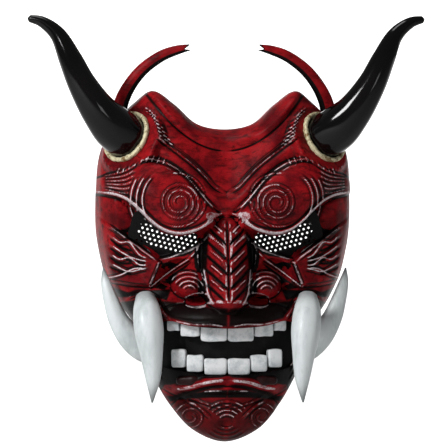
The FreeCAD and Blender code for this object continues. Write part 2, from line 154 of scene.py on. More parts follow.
MOUTH = mirror_loop([(0, -64.5), (25, -63), (42, -59.5), (52, -66), (54, -78), (50, -90),
                     (30, -95.5), (0, -98.5)])
EYE = spline([(20, -2), (25, -7), (33, -10.5), (42, -10.5), (50, -7.5), (58, -2), (63, 5),
              (64, 12), (60, 14.5), (54, 9), (46, 3.5), (38, 1), (30, 1.2), (22, 3)], 10,
             closed=True)
NOSTRIL = spline([(13, -44), (20, -42.5), (27, -41), (30, -43.5), (24, -47), (15, -48)], 10,
                 closed=True)

NOSE_WIDTH_Z = [-52, -47, -40, -30, -16, 0, 10, 18]
NOSE_WIDTH = [6, 15, 19, 19, 17.5, 16, 12, 5]
LEAF_PITCH = 10.4
LEAF_SLOPE = 0.95

# Lines of the face on the right, as x and height
brow_rim = height_line([(0, 15.5), (5, 15.8), (11, 11.5), (19, 6.2), (28, 3.2), (36, 2.6),
                        (45, 5.2), (53, 10.6), (61, 18.5), (69, 25.6), (77, 29.6), (85, 31.4),
                        (95, 33)])
brow_top = height_line([(0, 16), (6, 18), (13, 24.5), (19, 31.5), (26, 40), (34, 47.2),
                        (42, 52.2), (51, 55), (60, 55), (70, 51), (80, 47), (95, 42)])
band_top = height_line([(0, 32), (8, 35.5), (15, 42.8), (22, 50), (31, 57.3), (41, 65),
                        (50, 72), (60, 80), (95, 95)])
lid = height_line([(0, 6), (12, 2), (18, -4), (26, -9), (35, -12.5), (48, -15.5), (56, -9),
                   (66, -2), (76, 5), (84, 11), (95, 14)])


def along_height(line, x_low, x_high, lift=0.0):
    """The stretch of a height line between two places, raised by the lift."""
    x = np.linspace(x_low, x_high, 60)
    return np.column_stack([x, line(x) + lift])


# Parts on the right that are darkened, partly with black rubbed in and partly with painted shade
# in the eye hollows, under the brows and cheeks and on the lips and chin: their outline as x and
# z, the softness of the edge, and how dark
BLACKENED_AND_SHADED_PARTS = [
    ([*along_height(brow_rim, 12, 61, -2.0), (66, 10), (71, 6.5), (75.5, 5.5), (81, 7), (84, 9),
      (79, 3), (66, -4.2), (54, -12), (48, -16), (40, -15), (30, -14), (24, -11), (19, -3),
      (14, 5)], 1.6, 1.0),
    ([(66, 8), (70, 14), (78, 20), (90, 22), (90, 10), (84, 7), (75, 4)], 5.0, 0.45),
    ([(49, -18.5), (55, -33), (32, -19.5), (40, -17)], 1.5, 0.95),
    ([(22, -15), (30, -20), (53, -36.5), (44, -38), (38, -33), (34, -26), (28, -22)],
     1.5, 0.9),
    ([(20, 1), (24, -12), (23, -22), (18.5, -26), (17, -20), (17, -4)], 1.5, 1.0),
    ([(38, -36), (54, -37), (70, -38.5), (86, -33), (80, -44), (70, -44), (58, -41),
      (50, -44), (42, -46)], 2.0, 0.8),
    ([(-1, -49), (12, -48), (26, -46), (40, -44), (52, -43), (48, -51), (41, -59),
      (25, -63), (-1, -65)], 3.0, 0.72),
    ([(60, -42), (78, -47), (74, -60), (62, -66), (54, -60), (60, -50)], 3.0, 0.85),
    ([(40, -58), (56, -62), (62, -82), (58, -104), (46, -112), (42, -104), (52, -90),
      (53, -70)], 2.0, 1.0),
    ([(-1, -97), (20, -95), (40, -90), (54, -84), (50, -106), (40, -106), (26, -102),
      (13, -99.5), (-1, -98.8)], 1.6, 0.9),
    ([(-1, -107), (14, -107.5), (30, -112), (44, -113), (40, -119), (26, -116),
      (12, -115), (-1, -115)], 3.0, 0.95),
    ([(-1, -112), (30, -113), (42, -118), (32, -133), (20, -143), (-1, -150)], 4.0,
     0.52),
    (NOSTRIL, 1.2, 1.0),
]


def dome_at(a, b, inset):
    """x, depth and z on the rounded main body, drawn in by the inset. a and b run from -1 to 1."""
    across = a * np.sqrt(1.0 - b * b / 2.0)
    up = b * np.sqrt(1.0 - a * a / 2.0)
    out = np.clip(np.hypot(across, up), 0.0, 1.0)
    angle = np.arctan2(up, across)
    line = mirror_loop(HALF_OUTLINE)
    line_angle = np.arctan2(line[:, 1] - CENTRE_Z, line[:, 0])
    line_r = np.hypot(line[:, 1] - CENTRE_Z, line[:, 0])
    order = np.argsort(line_angle)
    reach = np.interp(angle.ravel(), line_angle[order], line_r[order],
                      period=2 * math.pi).reshape(angle.shape)
    fine = np.linspace(0.0, 1.0, 400)
    curves = [np.interp(fine, SECTIONS[:, 0], SECTIONS[:, k]) for k in range(1, 5)]
    kernel = np.hanning(41) / np.hanning(41).sum()
    curves = [np.convolve(np.pad(c, 20, mode="reflect", reflect_type="odd"), kernel, "valid")
              for c in curves]
    depth, side, top, chin = (np.interp(out, fine, c) for c in curves)
    upward = np.clip(np.sin(angle), 0, 1) ** 2
    downward = np.clip(-np.sin(angle), 0, 1) ** 2
    spread = side * (1 - upward - downward) + top * upward + chin * downward
    radius = np.maximum(reach * spread - inset, 0.0)
    x = np.cos(angle) * radius
    z = CENTRE_Z + np.sin(angle) * radius
    forward = np.where(out >= 0.999, 0.0, np.maximum(depth - inset, 0.0))
    return x, forward, z


def dome(inset):
    """The main body as a full grid."""
    a = np.linspace(-1.0, 1.0, COLUMNS + 1)[None, :]
    b = np.linspace(-1.0, 1.0, ROWS + 1)[:, None]
    return dome_at(a, b, inset)


# --- Relief of the face ------------------------------------------------------
# Round swellings, on both sides: centre, radii, height, tilt in degrees, and how round they are
SWELLINGS = [
    ((36, -27), (15, 11), -9.0, -30, 0.8),          # hollow beside the nose
    ((27.5, -34), (12.5, 10), 21.0, 10, 0.7),       # wing of the nose
    ((0, -57), (52, 10), 5.0, 0, 1.0),              # upper lip
    ((54, -46), (20, 12), 7.0, -18, 1.0),           # cheek over the front tusk
    ((0, -105), (44, 7), 5.0, 0, 1.0),              # lower lip
    ((0, -127), (40, 21), 16.0, 0, 0.8),            # chin
    ((0, -114), (38, 5), -3.5, 0, 1.0),             # groove under the lower lip
    ((0, -131), (6, 5), -3.5, 0, 1.0),              # dimple
    ((21.5, -44.5), (9, 4.5), -9.0, -8, 0.6),       # nostril
]
CHEEK_PLATE = [(90, 13), (84, 9), (69, -2), (47.5, -18), (54.5, -35), (84, -31.5), (92, -24)]
MUZZLE = ((0, -76), (66, 44), 21.0, 0, 0.75)


def swelling(ax, z, centre, radii, height, tilt, power):
    """One round swelling, or a hollow where its height is below 0."""
    c, s = math.cos(math.radians(tilt)), math.sin(math.radians(tilt))
    dx, dz = ax - centre[0], z - centre[1]
    u = (c * dx + s * dz) / radii[0]
    v = (-s * dx + c * dz) / radii[1]
    return height * np.clip(1.0 - (u * u + v * v), 0.0, 1.0) ** power


def brows(ax, z):
    """Two drop-shaped swellings over the eyes, cut off sharply along their lower rims."""
    low, high = brow_rim(ax), brow_top(ax)
    t = np.clip((z - low) / np.maximum(high - low, 2.0), 0, 1)
    swell = 12.0 + 9.0 * np.sin(math.pi * np.clip(t * 0.9 + 0.12, 0, 1))
    swell *= smooth(0, 16, ax) * 0.75 + 0.25
    swell *= 1.0 - 0.55 * smooth(56, 90, ax)
    return swell * smooth(-2.0, 0.4, z - low) * (1.0 - 0.75 * smooth(-3.0, 2.5, z - high))


def forehead(ax, z):
    """The band that dips to a V, and the rolled top edge."""
    low, high = brow_top(ax), band_top(ax)
    t = np.clip((z - low) / np.maximum(high - low, 3.0), 0, 1)
    band = 3.0 + 3.5 * np.sin(math.pi * t)
    band *= smooth(-1.0, 1.5, z - low) * (1.0 - smooth(-1.5, 1.5, z - high))
    plain = 3.0 * smooth(-1.0, 2.0, z - high)
    roll = 4.5 * smooth(0.0, 7.0, z - top_roll(ax)) * (1.0 - smooth(50, 66, ax))
    return band + plain + roll


def top_roll(ax):
    """Height of the line under the rolled top edge."""
    return 61.5 + 0.0125 * ax ** 2


def leaf_phase(ax, z):
    """How far each place lies across its own leaf of the nose, from 0 to 1."""
    return (z - LEAF_SLOPE * ax + 48.0) / LEAF_PITCH % 1.0


def nose(ax, z):
    """The ridge, with five pairs of leaves that point down to the middle."""
    width = np.interp(z, NOSE_WIDTH_Z, NOSE_WIDTH)
    height = np.interp(z, [-54, -50, -46, -38, -28, -14, 0, 10, 20],
                       [0, 14, 25, 31, 29, 22, 14, 8, 0])
    ridge = height * np.clip(1 - (ax / width) ** 2, 0, 1) ** 0.8
    f = leaf_phase(ax, z)
    leaf = 4.4 * (np.clip(1 - (2 * f - 1) ** 2, 0, 1) ** 0.6 - 0.45)
    reach = smooth(0.2, 1.6, ax) * (1 - smooth(width * 0.72, width * 0.95, ax))
    zone = smooth(-48, -44, z) * (1 - smooth(4, 12, z + 0.2 * ax))
    seam = -2.2 * np.exp(-(ax / 0.9) ** 2) * smooth(-46, -40, z) * (1 - smooth(8, 14, z))
    return ridge + leaf * reach * zone + seam


def nose_gaps(ax, z):
    """1 in the gaps between the nose's leaves and along its middle seam, and 0 elsewhere."""
    width = np.interp(z, NOSE_WIDTH_Z, NOSE_WIDTH)
    f = leaf_phase(ax, z)
    gap = 1.0 - smooth(0.04, 0.30, f) * (1.0 - smooth(0.78, 0.98, f))
    gap *= smooth(0.2, 2.0, ax) * (1 - smooth(width * 0.80, width * 0.95, ax))
    flank = smooth(width * 0.72, width * 0.92, ax) * (1 - smooth(width * 1.0, width * 1.25, ax))
    zone = smooth(-46, -42, z) * (1 - smooth(3, 10, z + 0.2 * ax))
    seam = np.exp(-(ax / 0.8) ** 2) * smooth(-46, -40, z) * (1 - smooth(8, 14, z))
    return np.maximum(np.maximum(gap, flank) * zone, seam)


def depth_inside(ax, z, loop, reach):
    """How far each place lies inside a loop, below 0 outside it."""
    loop = np.array(loop, dtype=float)
    d, _ = distance_to(ax.ravel(), z.ravel(), np.vstack([loop, loop[:1]]), reach)
    return np.where(inside(ax.ravel(), z.ravel(), loop), d, -d).reshape(ax.shape)


def blackened_and_shaded_parts(ax, z):
    """How dark the black rubbed in and the painted shade are: round the eyes, under the cheeks, on
    the lips and on the chin.
    """
    dark = np.zeros(ax.shape)
    for loop, edge, strength in BLACKENED_AND_SHADED_PARTS:
        zone = smooth(-edge * 0.5, edge, depth_inside(ax, z, loop, 3 * edge))
        dark = np.maximum(dark, strength * zone)
    return dark


def cheek_plate(ax, z):
    """The pleated plates at the cheeks, with a point towards the nose."""
    deep = depth_inside(ax, z, CHEEK_PLATE, 12.0)
    plate = 8.0 * smooth(-1.6, 1.2, deep)
    facet = 4.0 * smooth(0, 9, deep) * (1 - smooth(60, 86, ax))
    return plate * (1.0 - 0.75 * smooth(58, 88, ax)) - 0.4 * facet


def face_relief(ax, z):
    """How far each place stands forward of the dome, from the large forms."""
    h = brows(ax, z) + forehead(ax, z) + nose(ax, z) + cheek_plate(ax, z)
    eye = smooth(-0.5, 2.5, z - lid(ax)) * smooth(0.0, 2.5, brow_rim(ax) - z)
    h -= 9.0 * eye * smooth(13, 19, ax) * (1 - smooth(66, 80, ax))
    h += swelling(ax, z, *MUZZLE) * smooth(-36, -50, z)
    for form in SWELLINGS:
        h += swelling(ax, z, *form)
    return h


# --- Carved lines ------------------------------------------------------------
SPIRAL_CENTRE = (34.6, 24.5)       # the spiral on each brow, and the rings round it
RING_CENTRE = (36.5, 26.5)
DIMPLE = (0, -131)


def spiral(centre, inner, outer, turns, start, squash=1.0):
    """A flat spiral from its middle outwards. start is the first angle in degrees."""
    t = np.linspace(0.0, 1.0, int(turns * 36))
    angle = math.radians(start) + t * turns * 2 * math.pi
    radius = inner + (outer - inner) * t ** 0.9
    return np.column_stack([centre[0] + radius * np.cos(angle),
                            centre[1] + radius * np.sin(angle) * squash])


def arc(centre, radii, start, end):
    """Part of an ellipse between two angles in degrees."""
    t = np.radians(np.linspace(start, end, max(8, int(abs(end - start) / 5))))
    return np.column_stack([centre[0] + radii[0] * np.cos(t), centre[1] + radii[1] * np.sin(t)])


def carved_lines():
    """Every raised or cut line on the right half: (points, half width, height, silver)."""
    lines = [
        (along_height(brow_rim, 4.5, 93, 0.3), 1.25, 2.6, 1.25),
        (along_height(brow_top, 4, 62, 0.0), 0.8, 1.2, 0.75),
        (along_height(brow_top, 8, 56, -2.2), 0.6, -1.0, 0.0),
        (along_height(band_top, 0, 53, 0.0), 0.8, 1.0, 0.6),
        (along_height(band_top, 0, 53, -2.0), 0.7, -1.2, 0.0),
        (along_height(band_top, 6, 50, 2.2), 0.55, 0.5, 0.35),
    ]
    x = np.linspace(0, 46, 40)
    lines.append((np.column_stack([x, top_roll(x)]), 0.8, -1.3, 0.15))
    lines.append((spiral(SPIRAL_CENTRE, 1.2, 15.5, 3.4, 200), 0.62, 0.95, 0.62))
    lines.append((arc(RING_CENTRE, (20.5, 19.0), 60, 330), 0.62, 0.9, 0.6))
    for index, radius in enumerate((24.0, 28.0, 32.0)):
        lines.append((arc(RING_CENTRE, (radius, radius * 0.96), 52 - 9 * index, -42 + 5 * index),
                      0.75, 1.2, 0.8))
    for index in range(6):
        start = (63.0 + 1.2 * index, 52.5 - 4.2 * index)
        middle = (74.0, 46.5 - 3.0 * index)
        end = (89.0, 43.5 - 1.7 * index)
        lines.append((spline([start, middle, end], 10), 0.65, 1.0, 0.7))
    for index in range(6):
        lines.append((along_height(band_top, 36 + 2.6 * index, 58, 2.4 + 2.3 * index), 0.55, 0.9,
                      0.85))
    for index in range(9):
        foot = 46.0 + 4.0 * index
        lines.append((spline([(foot, brow_top(foot) - 2.5), (foot - 2.5, brow_top(foot) + 2.5)],
                             4), 0.55, 0.9, 0.8))
    lines += cheek_lines() + nose_lines() + mouth_lines() + chin_lines()
    return lines


def cheek_lines():
    """Plate edges, flame-like pleats and the fold from the nose."""
    tip, top, low, corner = (47.5, -18.0), (84.0, 8.5), (54.5, -35.0), (84.0, -31.0)
    lines = [
        (spline([top, (76, 3.0), (62, -7.5), tip], 10), 0.8, 1.5, 0.75),
        (spline([tip, low], 8), 0.8, 1.5, 0.9),
        (spline([low, (68, -34.0), corner], 8), 0.7, 1.1, 0.5),
        (spline([(24.5, -14), (40, -24.5), (56.5, -37.5)], 10), 0.7, 1.6, 0.85),
        (spline([(58, -22), (66, -22.5), (75, -27), (86, -30)], 10), 0.8, 1.4, 0.9),
    ]
    for index in range(4):
        drop = 6.8 * index
        wave = 2.2 * (-1) ** index
        lines.append((spline([(83, 2.5 - drop), (76, -3.5 - drop * 0.9),
                              (69, -6 - drop * 0.80 + wave), (62, -12.5 - drop * 0.52),
                              (55, -15.5 - drop * 0.30)], 10), 1.0, 1.7, 0.75))
        lines.append((spline([(83, -0.5 - drop), (75, -7.0 - drop * 0.85),
                              (66, -12.5 - drop * 0.6 + wave)], 10), 1.0, -1.8, 0.0))
    return lines


def nose_lines():
    """Creases beside the nose, painted highlights along the nose's leaves and the strands over the
    nostrils.
    """
    lines = [
        (spline([(15, 6), (19, -1), (22, -10), (27, -15)], 10), 0.8, 1.5, 0.8),
        (spline([(18.5, 0), (20.5, -9), (20, -20), (16, -31)], 10), 0.9, 1.6, 0.7),
        (spline([(17, -20), (15.5, -31), (14, -41), (10, -48)], 10), 0.9, 1.5, 0.9),
    ]
    # Painted highlights: one silver line along each leaf, standing for the glint of the light from
    # the upper left on the gloss.
    for index in range(5):
        level = -44.0 + LEAF_PITCH * index
        lines.append((spline([(3.2, level + 5.6), (8, level + 10.2), (13, level + 14.6)], 8),
                      0.6, 0.8, 0.85))
    for index in range(4):
        grow = 3.1 * index
        lines.append((arc((27.5, -38), (4.5 + grow, 4.0 + grow), 10 + 4 * index, 175),
                      0.75, 1.5 - 0.2 * index, 0.75))
    return lines


def mouth_lines():
    """The lips' edges, the groove under the nose and the fine wrinkles of the lips."""
    lines = [
        (spline([(72, -45), (66, -41.2), (58, -40), (50, -44.5), (45, -53), (40, -59.5)], 10),
         1.0, 2.0, 0.8),
        (along_height(height_line([(0, -65), (12, -63), (25, -63), (40, -60)]), 0, 41, 1.4),
         0.9, 1.4, 0.45),
        (spline([(14, -48), (26, -47), (38, -48), (47, -52)], 8), 0.8, -1.2, 0.1),
        (spline([(0, -101.5), (13, -102.6), (26, -106.5), (39, -109.5)], 10), 2.0, 2.8, 0.35),
        (spline([(0, -97.3), (16, -96.6), (30, -94), (42, -90)], 10), 0.9, 1.3, 0.5),
    ]
    for index in range(4):
        level = -78.0 - 6.5 * index
        lines.append((spline([(60 - 2 * index, level + 4), (52 - index, level), (46, level - 4.5)],
                             8), 0.8, 1.3, 0.7))
    return lines


def chin_lines():
    """Two swirls and the rings round the dimple."""
    lines = [
        (spiral((25.5, -128), 1.2, 11.5, 2.3, 40, 0.9), 0.65, 0.95, 0.45),
        (spline([(29, -115.5), (20, -121), (10, -130)], 10), 0.8, 1.3, 0.8),
        (spline([(26, -113.5), (16, -118), (6, -120.5), (0, -121)], 10), 0.6, 0.8, 0.4),
    ]
    for index in range(4):
        lines.append((arc(DIMPLE, (6 + 3.6 * index, 5 + 3.2 * index), 25, 155), 0.6, 0.9, 0.5))
        lines.append((arc(DIMPLE, (6 + 3.6 * index, 5 + 2.9 * index), -30, -150), 0.5, 0.7, 0.3))
    return lines


def carve(ax, z):
    """Heights, silver and dark of all the carved lines at each place."""
    flat_x, flat_z = ax.ravel(), z.ravel()
    rise, silver, dark = (np.zeros(flat_x.shape) for _ in range(3))
    for points, half_width, height, shine in carved_lines():
        d, along = distance_to(flat_x, flat_z, points, 4.5 * half_width)
        taper = np.clip(np.minimum(along, 1 - along) / 0.12, 0.15, 1.0)
        core = np.exp(-(d / half_width) ** 2) * taper
        beside = np.exp(-((d - 2.1 * half_width) / half_width) ** 2) * taper
        rise += height * core
        if height > 0:
            rise -= 0.35 * height * beside
            silver = np.maximum(silver, shine * np.exp(-(d / (0.75 * half_width)) ** 2) * taper)
            dark = np.maximum(dark, 0.75 * beside)
        else:
            dark = np.maximum(dark, core)
    return (value.reshape(ax.shape) for value in (rise, silver, dark))


# --- The horn seats ------------------------------------------------------------
def seat_form(ax, forward, z):
    """The form with a flat round seat for each horn, and the distance from the horn's axis."""
    place = np.stack([ax - HORN_SEAT[0], -forward - HORN_SEAT[1], z - HORN_SEAT[2]])
    axis = HORN_AXIS[:, None, None]
    on_axis = (place * axis).sum(axis=0)
    off = np.sqrt(np.maximum((place ** 2).sum(axis=0) - on_axis ** 2, 0.0))
    flat = -(HORN_SEAT[1] - ((ax - HORN_SEAT[0]) * HORN_AXIS[0]
                             + (z - HORN_SEAT[2]) * HORN_AXIS[2]) / HORN_AXIS[1])
    weight = 1.0 - smooth(SEAT_R + 0.5, SEAT_R + 8.0, off)
    weight *= smooth(6.0, 16.0, forward)
    return forward * (1 - weight) + flat * weight, off


def blurred(value, times):
    """The grid smoothed a few times with its neighbours."""
    for _ in range(times):
        for axis in (0, 1):
            padded = np.pad(value, [(1, 1) if k == axis else (0, 0) for k in (0, 1)], "edge")
            low, high = (padded[:-2], padded[2:]) if axis == 0 else (padded[:, :-2], padded[:, 2:])
            value = 0.5 * value + 0.25 * (low + high)
    return value


def face_grid():
    """Places of the outer skin and its paint values, as grids."""
    x, forward, z = dome(0.0)
    ax = np.abs(x)
    fade = smooth(0.0, 26.0, forward)
    form, off = seat_form(ax, forward + face_relief(ax, z) * fade, z)
    rise, silver, dark = carve(ax, z)
    clear = smooth(SEAT_R - 1.0, SEAT_R + 2.5, off)
    form = form + rise * fade * clear
    cord = np.exp(-((off - SEAT_R - 3.0) / 1.8) ** 2)
    twist = np.arctan2(z - HORN_SEAT[2], ax - HORN_SEAT[0])
    strand = np.sin(52 * twist + 2.4 * off)
    form += cord * (0.9 + 0.3 * strand) * fade
    silver = np.maximum(silver * clear, 0.42 * cord * smooth(0.2, 1.0, strand))
    dark = np.maximum(dark * clear, 0.55 * cord * smooth(0.2, -0.8, strand))
    dark = np.maximum(dark, 0.95 * nose_gaps(ax, z) * fade)
    # Painted shade, together with black rubbed in: the darkened parts deepen the dark paint value
    # and dim the silver there.
    blackened_and_shaded = blackened_and_shaded_parts(ax, z) * fade
    dark = np.maximum(dark, blackened_and_shaded)
    silver = silver * (1.0 - 0.6 * blackened_and_shaded)
    fine = form - blurred(form, 3)
    broad = form - blurred(form, 40)
    return x, form, z, silver, dark, fine, broad


# --- Mesh making ---------------------------------------------------------------
PLAIN_PAINT = [0.0, 0.3, 0.5, 0.5]     # silver, dark, fine relief, broad relief
HOLE_PAINT = [0.0, 1.0, 0.5, 0.2]


def new_mesh(name, points, faces, smooth_shading=True):
    """A mesh object from places in millimetres."""
    mesh = bpy.data.meshes.new(name)
    mesh.from_pydata((np.asarray(points, dtype=float) * MM).tolist(), [],
                     [tuple(int(i) for i in face) for face in faces])
    mesh.validate()
    mesh.update()
    if smooth_shading:
        mesh.polygons.foreach_set("use_smooth", [True] * len(mesh.polygons))
    piece = bpy.data.objects.new(name, mesh)
    bpy.context.scene.collection.objects.link(piece)
    return piece


def add_paint(piece, *values):
    """Up to four values for each vertex, which the materials read as its colour."""
    filled = list(values) + [values[-1]] * (4 - len(values))
    layer = piece.data.color_attributes.new("paint", "FLOAT_COLOR", "POINT")
    layer.data.foreach_set("color", np.stack(filled, axis=-1).astype(np.float32).ravel())


def rounded(value, power):
    """A sine or cosine with squarer shoulders where the power is below 1."""
    return np.sign(value) * np.abs(value) ** power


def border(rows, columns):
    """The outer places of a grid stored row by row, once round."""
    index = np.arange(rows * columns).reshape(rows, columns)
    return np.concatenate([index[0, :-1], index[:-1, -1], index[-1, :0:-1], index[:0:-1, 0]])


def ring_faces(rings, around, closed=False):
    """Quads between rings of places, and from the last ring to the first if closed."""
    index = np.arange(rings * around).reshape(rings, around)
    if closed:
        index = np.vstack([index, index[:1]])
    beside = np.roll(index, -1, axis=1)
    return np.stack([index[:-1], beside[:-1], beside[1:], index[1:]], axis=-1).reshape(-1, 4)


def grid_faces(rows, columns, offset=0, flip=False):
    """Quads of a grid of places stored row by row."""
    i = np.arange(rows - 1)[:, None] * columns + np.arange(columns - 1)[None, :] + offset
    quads = np.stack([i, i + 1, i + columns + 1, i + columns], axis=-1).reshape(-1, 4)
    return quads[:, ::-1] if flip else quads


def open_holes(places, faces, holes):
    """Takes out the faces inside the holes and moves the cut edge onto the holes' outlines."""
    middle = places[faces].mean(axis=1)
    keep = np.ones(len(faces), dtype=bool)
    for hole in holes:
        keep &= ~inside(middle[:, 0], middle[:, 2], hole)
    removed = np.zeros(len(places), dtype=bool)
    removed[faces[~keep].ravel()] = True
    faces = faces[keep]
    used = np.zeros(len(places), dtype=bool)
    used[faces.ravel()] = True
    edge = np.nonzero(removed & used)[0]
    starts = np.vstack(holes)
    seg = np.vstack([np.roll(hole, -1, axis=0) for hole in holes]) - starts
    for index in edge:
        to_place = places[index, [0, 2]] - starts
        t = (to_place * seg).sum(axis=1) / np.maximum((seg ** 2).sum(axis=1), 1e-12)
        near = starts + seg * np.clip(t, 0, 1)[:, None]
        places[index, [0, 2]] = near[np.argmin(np.hypot(*(near - places[index, [0, 2]]).T))]
    return faces, edge


def cut_edges(faces, edge):
    """The edges of the kept faces that run along the cut."""
    pairs = np.concatenate([faces[:, [k, (k + 1) % 4]] for k in range(4)])
    pairs = pairs[np.isin(pairs, edge).all(axis=1)]
    _, first, count = np.unique(np.sort(pairs, axis=1), axis=0, return_index=True,
                                return_counts=True)
    return pairs[first[count == 1]]


def outer_skin(holes):
    """The carved outside: its places, faces, paint, and the edges along its holes."""
    x, form, z, silver, dark, fine, broad = face_grid()
    places = np.stack([x, -form, z], axis=-1).reshape(-1, 3)
    faces, edge = open_holes(places, grid_faces(*x.shape), holes)
    paint = np.stack([silver, dark, np.clip(0.5 + fine * 0.55, 0, 1),
                      np.clip(0.5 + broad * 0.045, 0, 1)], axis=-1).reshape(-1, 4)
    return form, places, faces, paint, cut_edges(faces, edge)


def lining(form, holes):
    """The plain inside, one wall behind the form, and its edge in the plane of the rim."""
    x, forward, z = dome(WALL)
    plain = np.maximum(forward, blurred(form, 30) - WALL - 1.0)
    inside_form = np.maximum(np.minimum(plain, form - 1.5), 0.0)
    inside_form = np.where(forward <= 0.0, 0.0, inside_form)
    pick = np.ix_(*(np.arange(0, count, INNER_STEP) for count in x.shape))
    places = np.stack([x[pick], -inside_form[pick], z[pick]], axis=-1).reshape(-1, 3)
    faces, _ = open_holes(places, grid_faces(*x[pick].shape, flip=True), holes)
    rim = border(*x.shape)
    rim_places = np.stack([x.ravel()[rim], np.zeros(len(rim)), z.ravel()[rim]], axis=-1)
    return places, faces, rim, rim_places


def face_shell():
    """The moulded shell: carved outside, plain inside, open at the eyes and the mouth."""
    holes = [MOUTH, EYE, EYE * np.array([-1.0, 1.0])]
    form, skin, skin_faces, paint, hole_edges = outer_skin(holes)
    back, back_faces, rim, rim_places = lining(form, holes)

    hole_rim = np.unique(hole_edges)
    hole_depth = skin[hole_rim] + np.array([0.0, WALL + 2.0, 0.0])
    first = len(skin) + len(back)
    lowered = first + np.searchsorted(hole_rim, hole_edges)
    hole_faces = np.stack([hole_edges[:, 1], hole_edges[:, 0], lowered[:, 0], lowered[:, 1]],
                          axis=-1)
    inner_rim = first + len(hole_depth) + np.arange(len(rim))
    rim_faces = np.stack([np.roll(rim, -1), rim, inner_rim, np.roll(inner_rim, -1)], axis=-1)

    places = [skin, back, hole_depth, rim_places]
    faces = [skin_faces, back_faces + len(skin), hole_faces, rim_faces]
    paints = [paint] + [np.tile(value, (len(part), 1)) for part, value in
                        zip(places[1:], (PLAIN_PAINT, HOLE_PAINT, PLAIN_PAINT))]
    piece = new_mesh("mask_shell", np.vstack(places), np.vstack(faces))
    add_paint(piece, *np.vstack(paints).T)
    weld = piece.modifiers.new("weld", "WELD")
    weld.merge_threshold = 0.00001
    return piece


# --- Materials -----------------------------------------------------------------
class Shader:
    """A material's node tree, with short calls for the nodes that repeat."""

    def __init__(self, name, roughness=0.5, coat=0.0, specular=0.5, metallic=0.0):
        self.material = bpy.data.materials.new(name)
        self.material.use_nodes = True
        self.tree = self.material.node_tree
        self.main = self.tree.nodes["Principled BSDF"]
        self.set("Roughness", roughness)
        self.set("Coat Weight", coat)
        self.set("Coat Roughness", 0.12)
        self.set("Specular IOR Level", specular)
        self.set("Metallic", metallic)
        self.place = self.tree.nodes.new("ShaderNodeTexCoord").outputs["Object"]

    def set(self, socket, value):
        """A constant, or the output of another node, on the main shader."""
        self.feed(self.main.inputs[socket], value)

    def feed(self, socket, value):
        """Sets a socket to a constant or links an output to it."""
        if isinstance(value, bpy.types.NodeSocket):
            self.tree.links.new(value, socket)
        elif isinstance(value, tuple) and len(value) == 3 and socket.type == "RGBA":
            socket.default_value = (*value, 1.0)
        else:
            socket.default_value = value

    def noise(self, scale, detail=4.0, roughness=0.55, stretch=None, distortion=0.0):
        """A noise value from 0 to 1 at places in metres."""
        node = self.tree.nodes.new("ShaderNodeTexNoise")
        node.inputs["Scale"].default_value = scale
        node.inputs["Detail"].default_value = detail
        node.inputs["Roughness"].default_value = roughness
        node.inputs["Distortion"].default_value = distortion
        place = self.place
        if stretch:
            mapping = self.tree.nodes.new("ShaderNodeMapping")
            mapping.inputs["Scale"].default_value = stretch
            self.tree.links.new(self.place, mapping.inputs["Vector"])
            place = mapping.outputs["Vector"]
        self.tree.links.new(place, node.inputs["Vector"])
        return node.outputs["Fac"]

    def weave(self, along, across):
        """Crossed threads, from 0 to 1. The two values set how many there are in a metre."""
        split = self.tree.nodes.new("ShaderNodeSeparateXYZ")
        self.tree.links.new(self.place, split.inputs[0])
        waves = []
        for axis, count in (("X", along), ("Y", across)):
            angle = self.number("MULTIPLY", split.outputs[axis], count * 2 * math.pi)
            waves.append(self.number("SINE", angle))
        crossed = self.number("MULTIPLY", waves[0], waves[1])
        return self.number("ADD", self.number("MULTIPLY", crossed, 0.5), 0.5)

    def number(self, kind, a, b=0.0, clamp=False):
        """One operation on two values, held between 0 and 1 if clamp is set."""
        node = self.tree.nodes.new("ShaderNodeMath")
        node.operation = kind
        node.use_clamp = clamp
        self.feed(node.inputs[0], a)
        self.feed(node.inputs[1], b)
        return node.outputs[0]

    def times(self, a, b):
        """The product, held between 0 and 1."""
        return self.number("MULTIPLY", a, b, clamp=True)

    def plus(self, a, b):
        """The sum, held between 0 and 1."""
        return self.number("ADD", a, b, clamp=True)

    def inverse(self, value):
        """1 where the value is 0, and 0 where it is 1."""
        return self.number("SUBTRACT", 1.0, value, clamp=True)

    def most(self, a, b):
        """The larger of two values."""
        return self.number("MAXIMUM", a, b)

    def ramp(self, value, low, high):
        """0 below low and 1 above high."""
        node = self.tree.nodes.new("ShaderNodeMapRange")
        node.interpolation_type = "SMOOTHSTEP"
        self.feed(node.inputs["Value"], value)
        node.inputs["From Min"].default_value = low
        node.inputs["From Max"].default_value = high
        return node.outputs["Result"]

    def mix(self, amount, first, second):
        """A colour between two."""
        node = self.tree.nodes.new("ShaderNodeMix")
        node.data_type = "RGBA"
        self.feed(node.inputs[0], amount)
        self.feed(node.inputs[6], first)
        self.feed(node.inputs[7], second)
        return node.outputs[2]

    def attribute(self):
        """The node that reads what add_paint wrote."""
        node = self.tree.nodes.new("ShaderNodeAttribute")
        node.attribute_name = "paint"
        return node

    def paint(self):
        """The four values of each vertex."""
        node = self.attribute()
        parts = self.tree.nodes.new("ShaderNodeSeparateColor")
        self.tree.links.new(node.outputs["Color"], parts.inputs["Color"])
        return parts.outputs[0], parts.outputs[1], parts.outputs[2], node.outputs["Alpha"]

    def bump(self, height, depth_mm, strength=1.0):
        """Surface relief from a value, with its depth in millimetres."""
        node = self.tree.nodes.new("ShaderNodeBump")
        node.inputs["Strength"].default_value = strength
        node.inputs["Distance"].default_value = depth_mm * MM
        self.feed(node.inputs["Height"], height)
        self.tree.links.new(node.outputs["Normal"], self.main.inputs["Normal"])


LACQUER_BRIGHT = (0.37, 0.008, 0.012)
LACQUER_DEEP = (0.120, 0.003, 0.006)
LACQUER_BLACK = (0.003, 0.002, 0.002)
SILVER = (0.80, 0.70, 0.73)


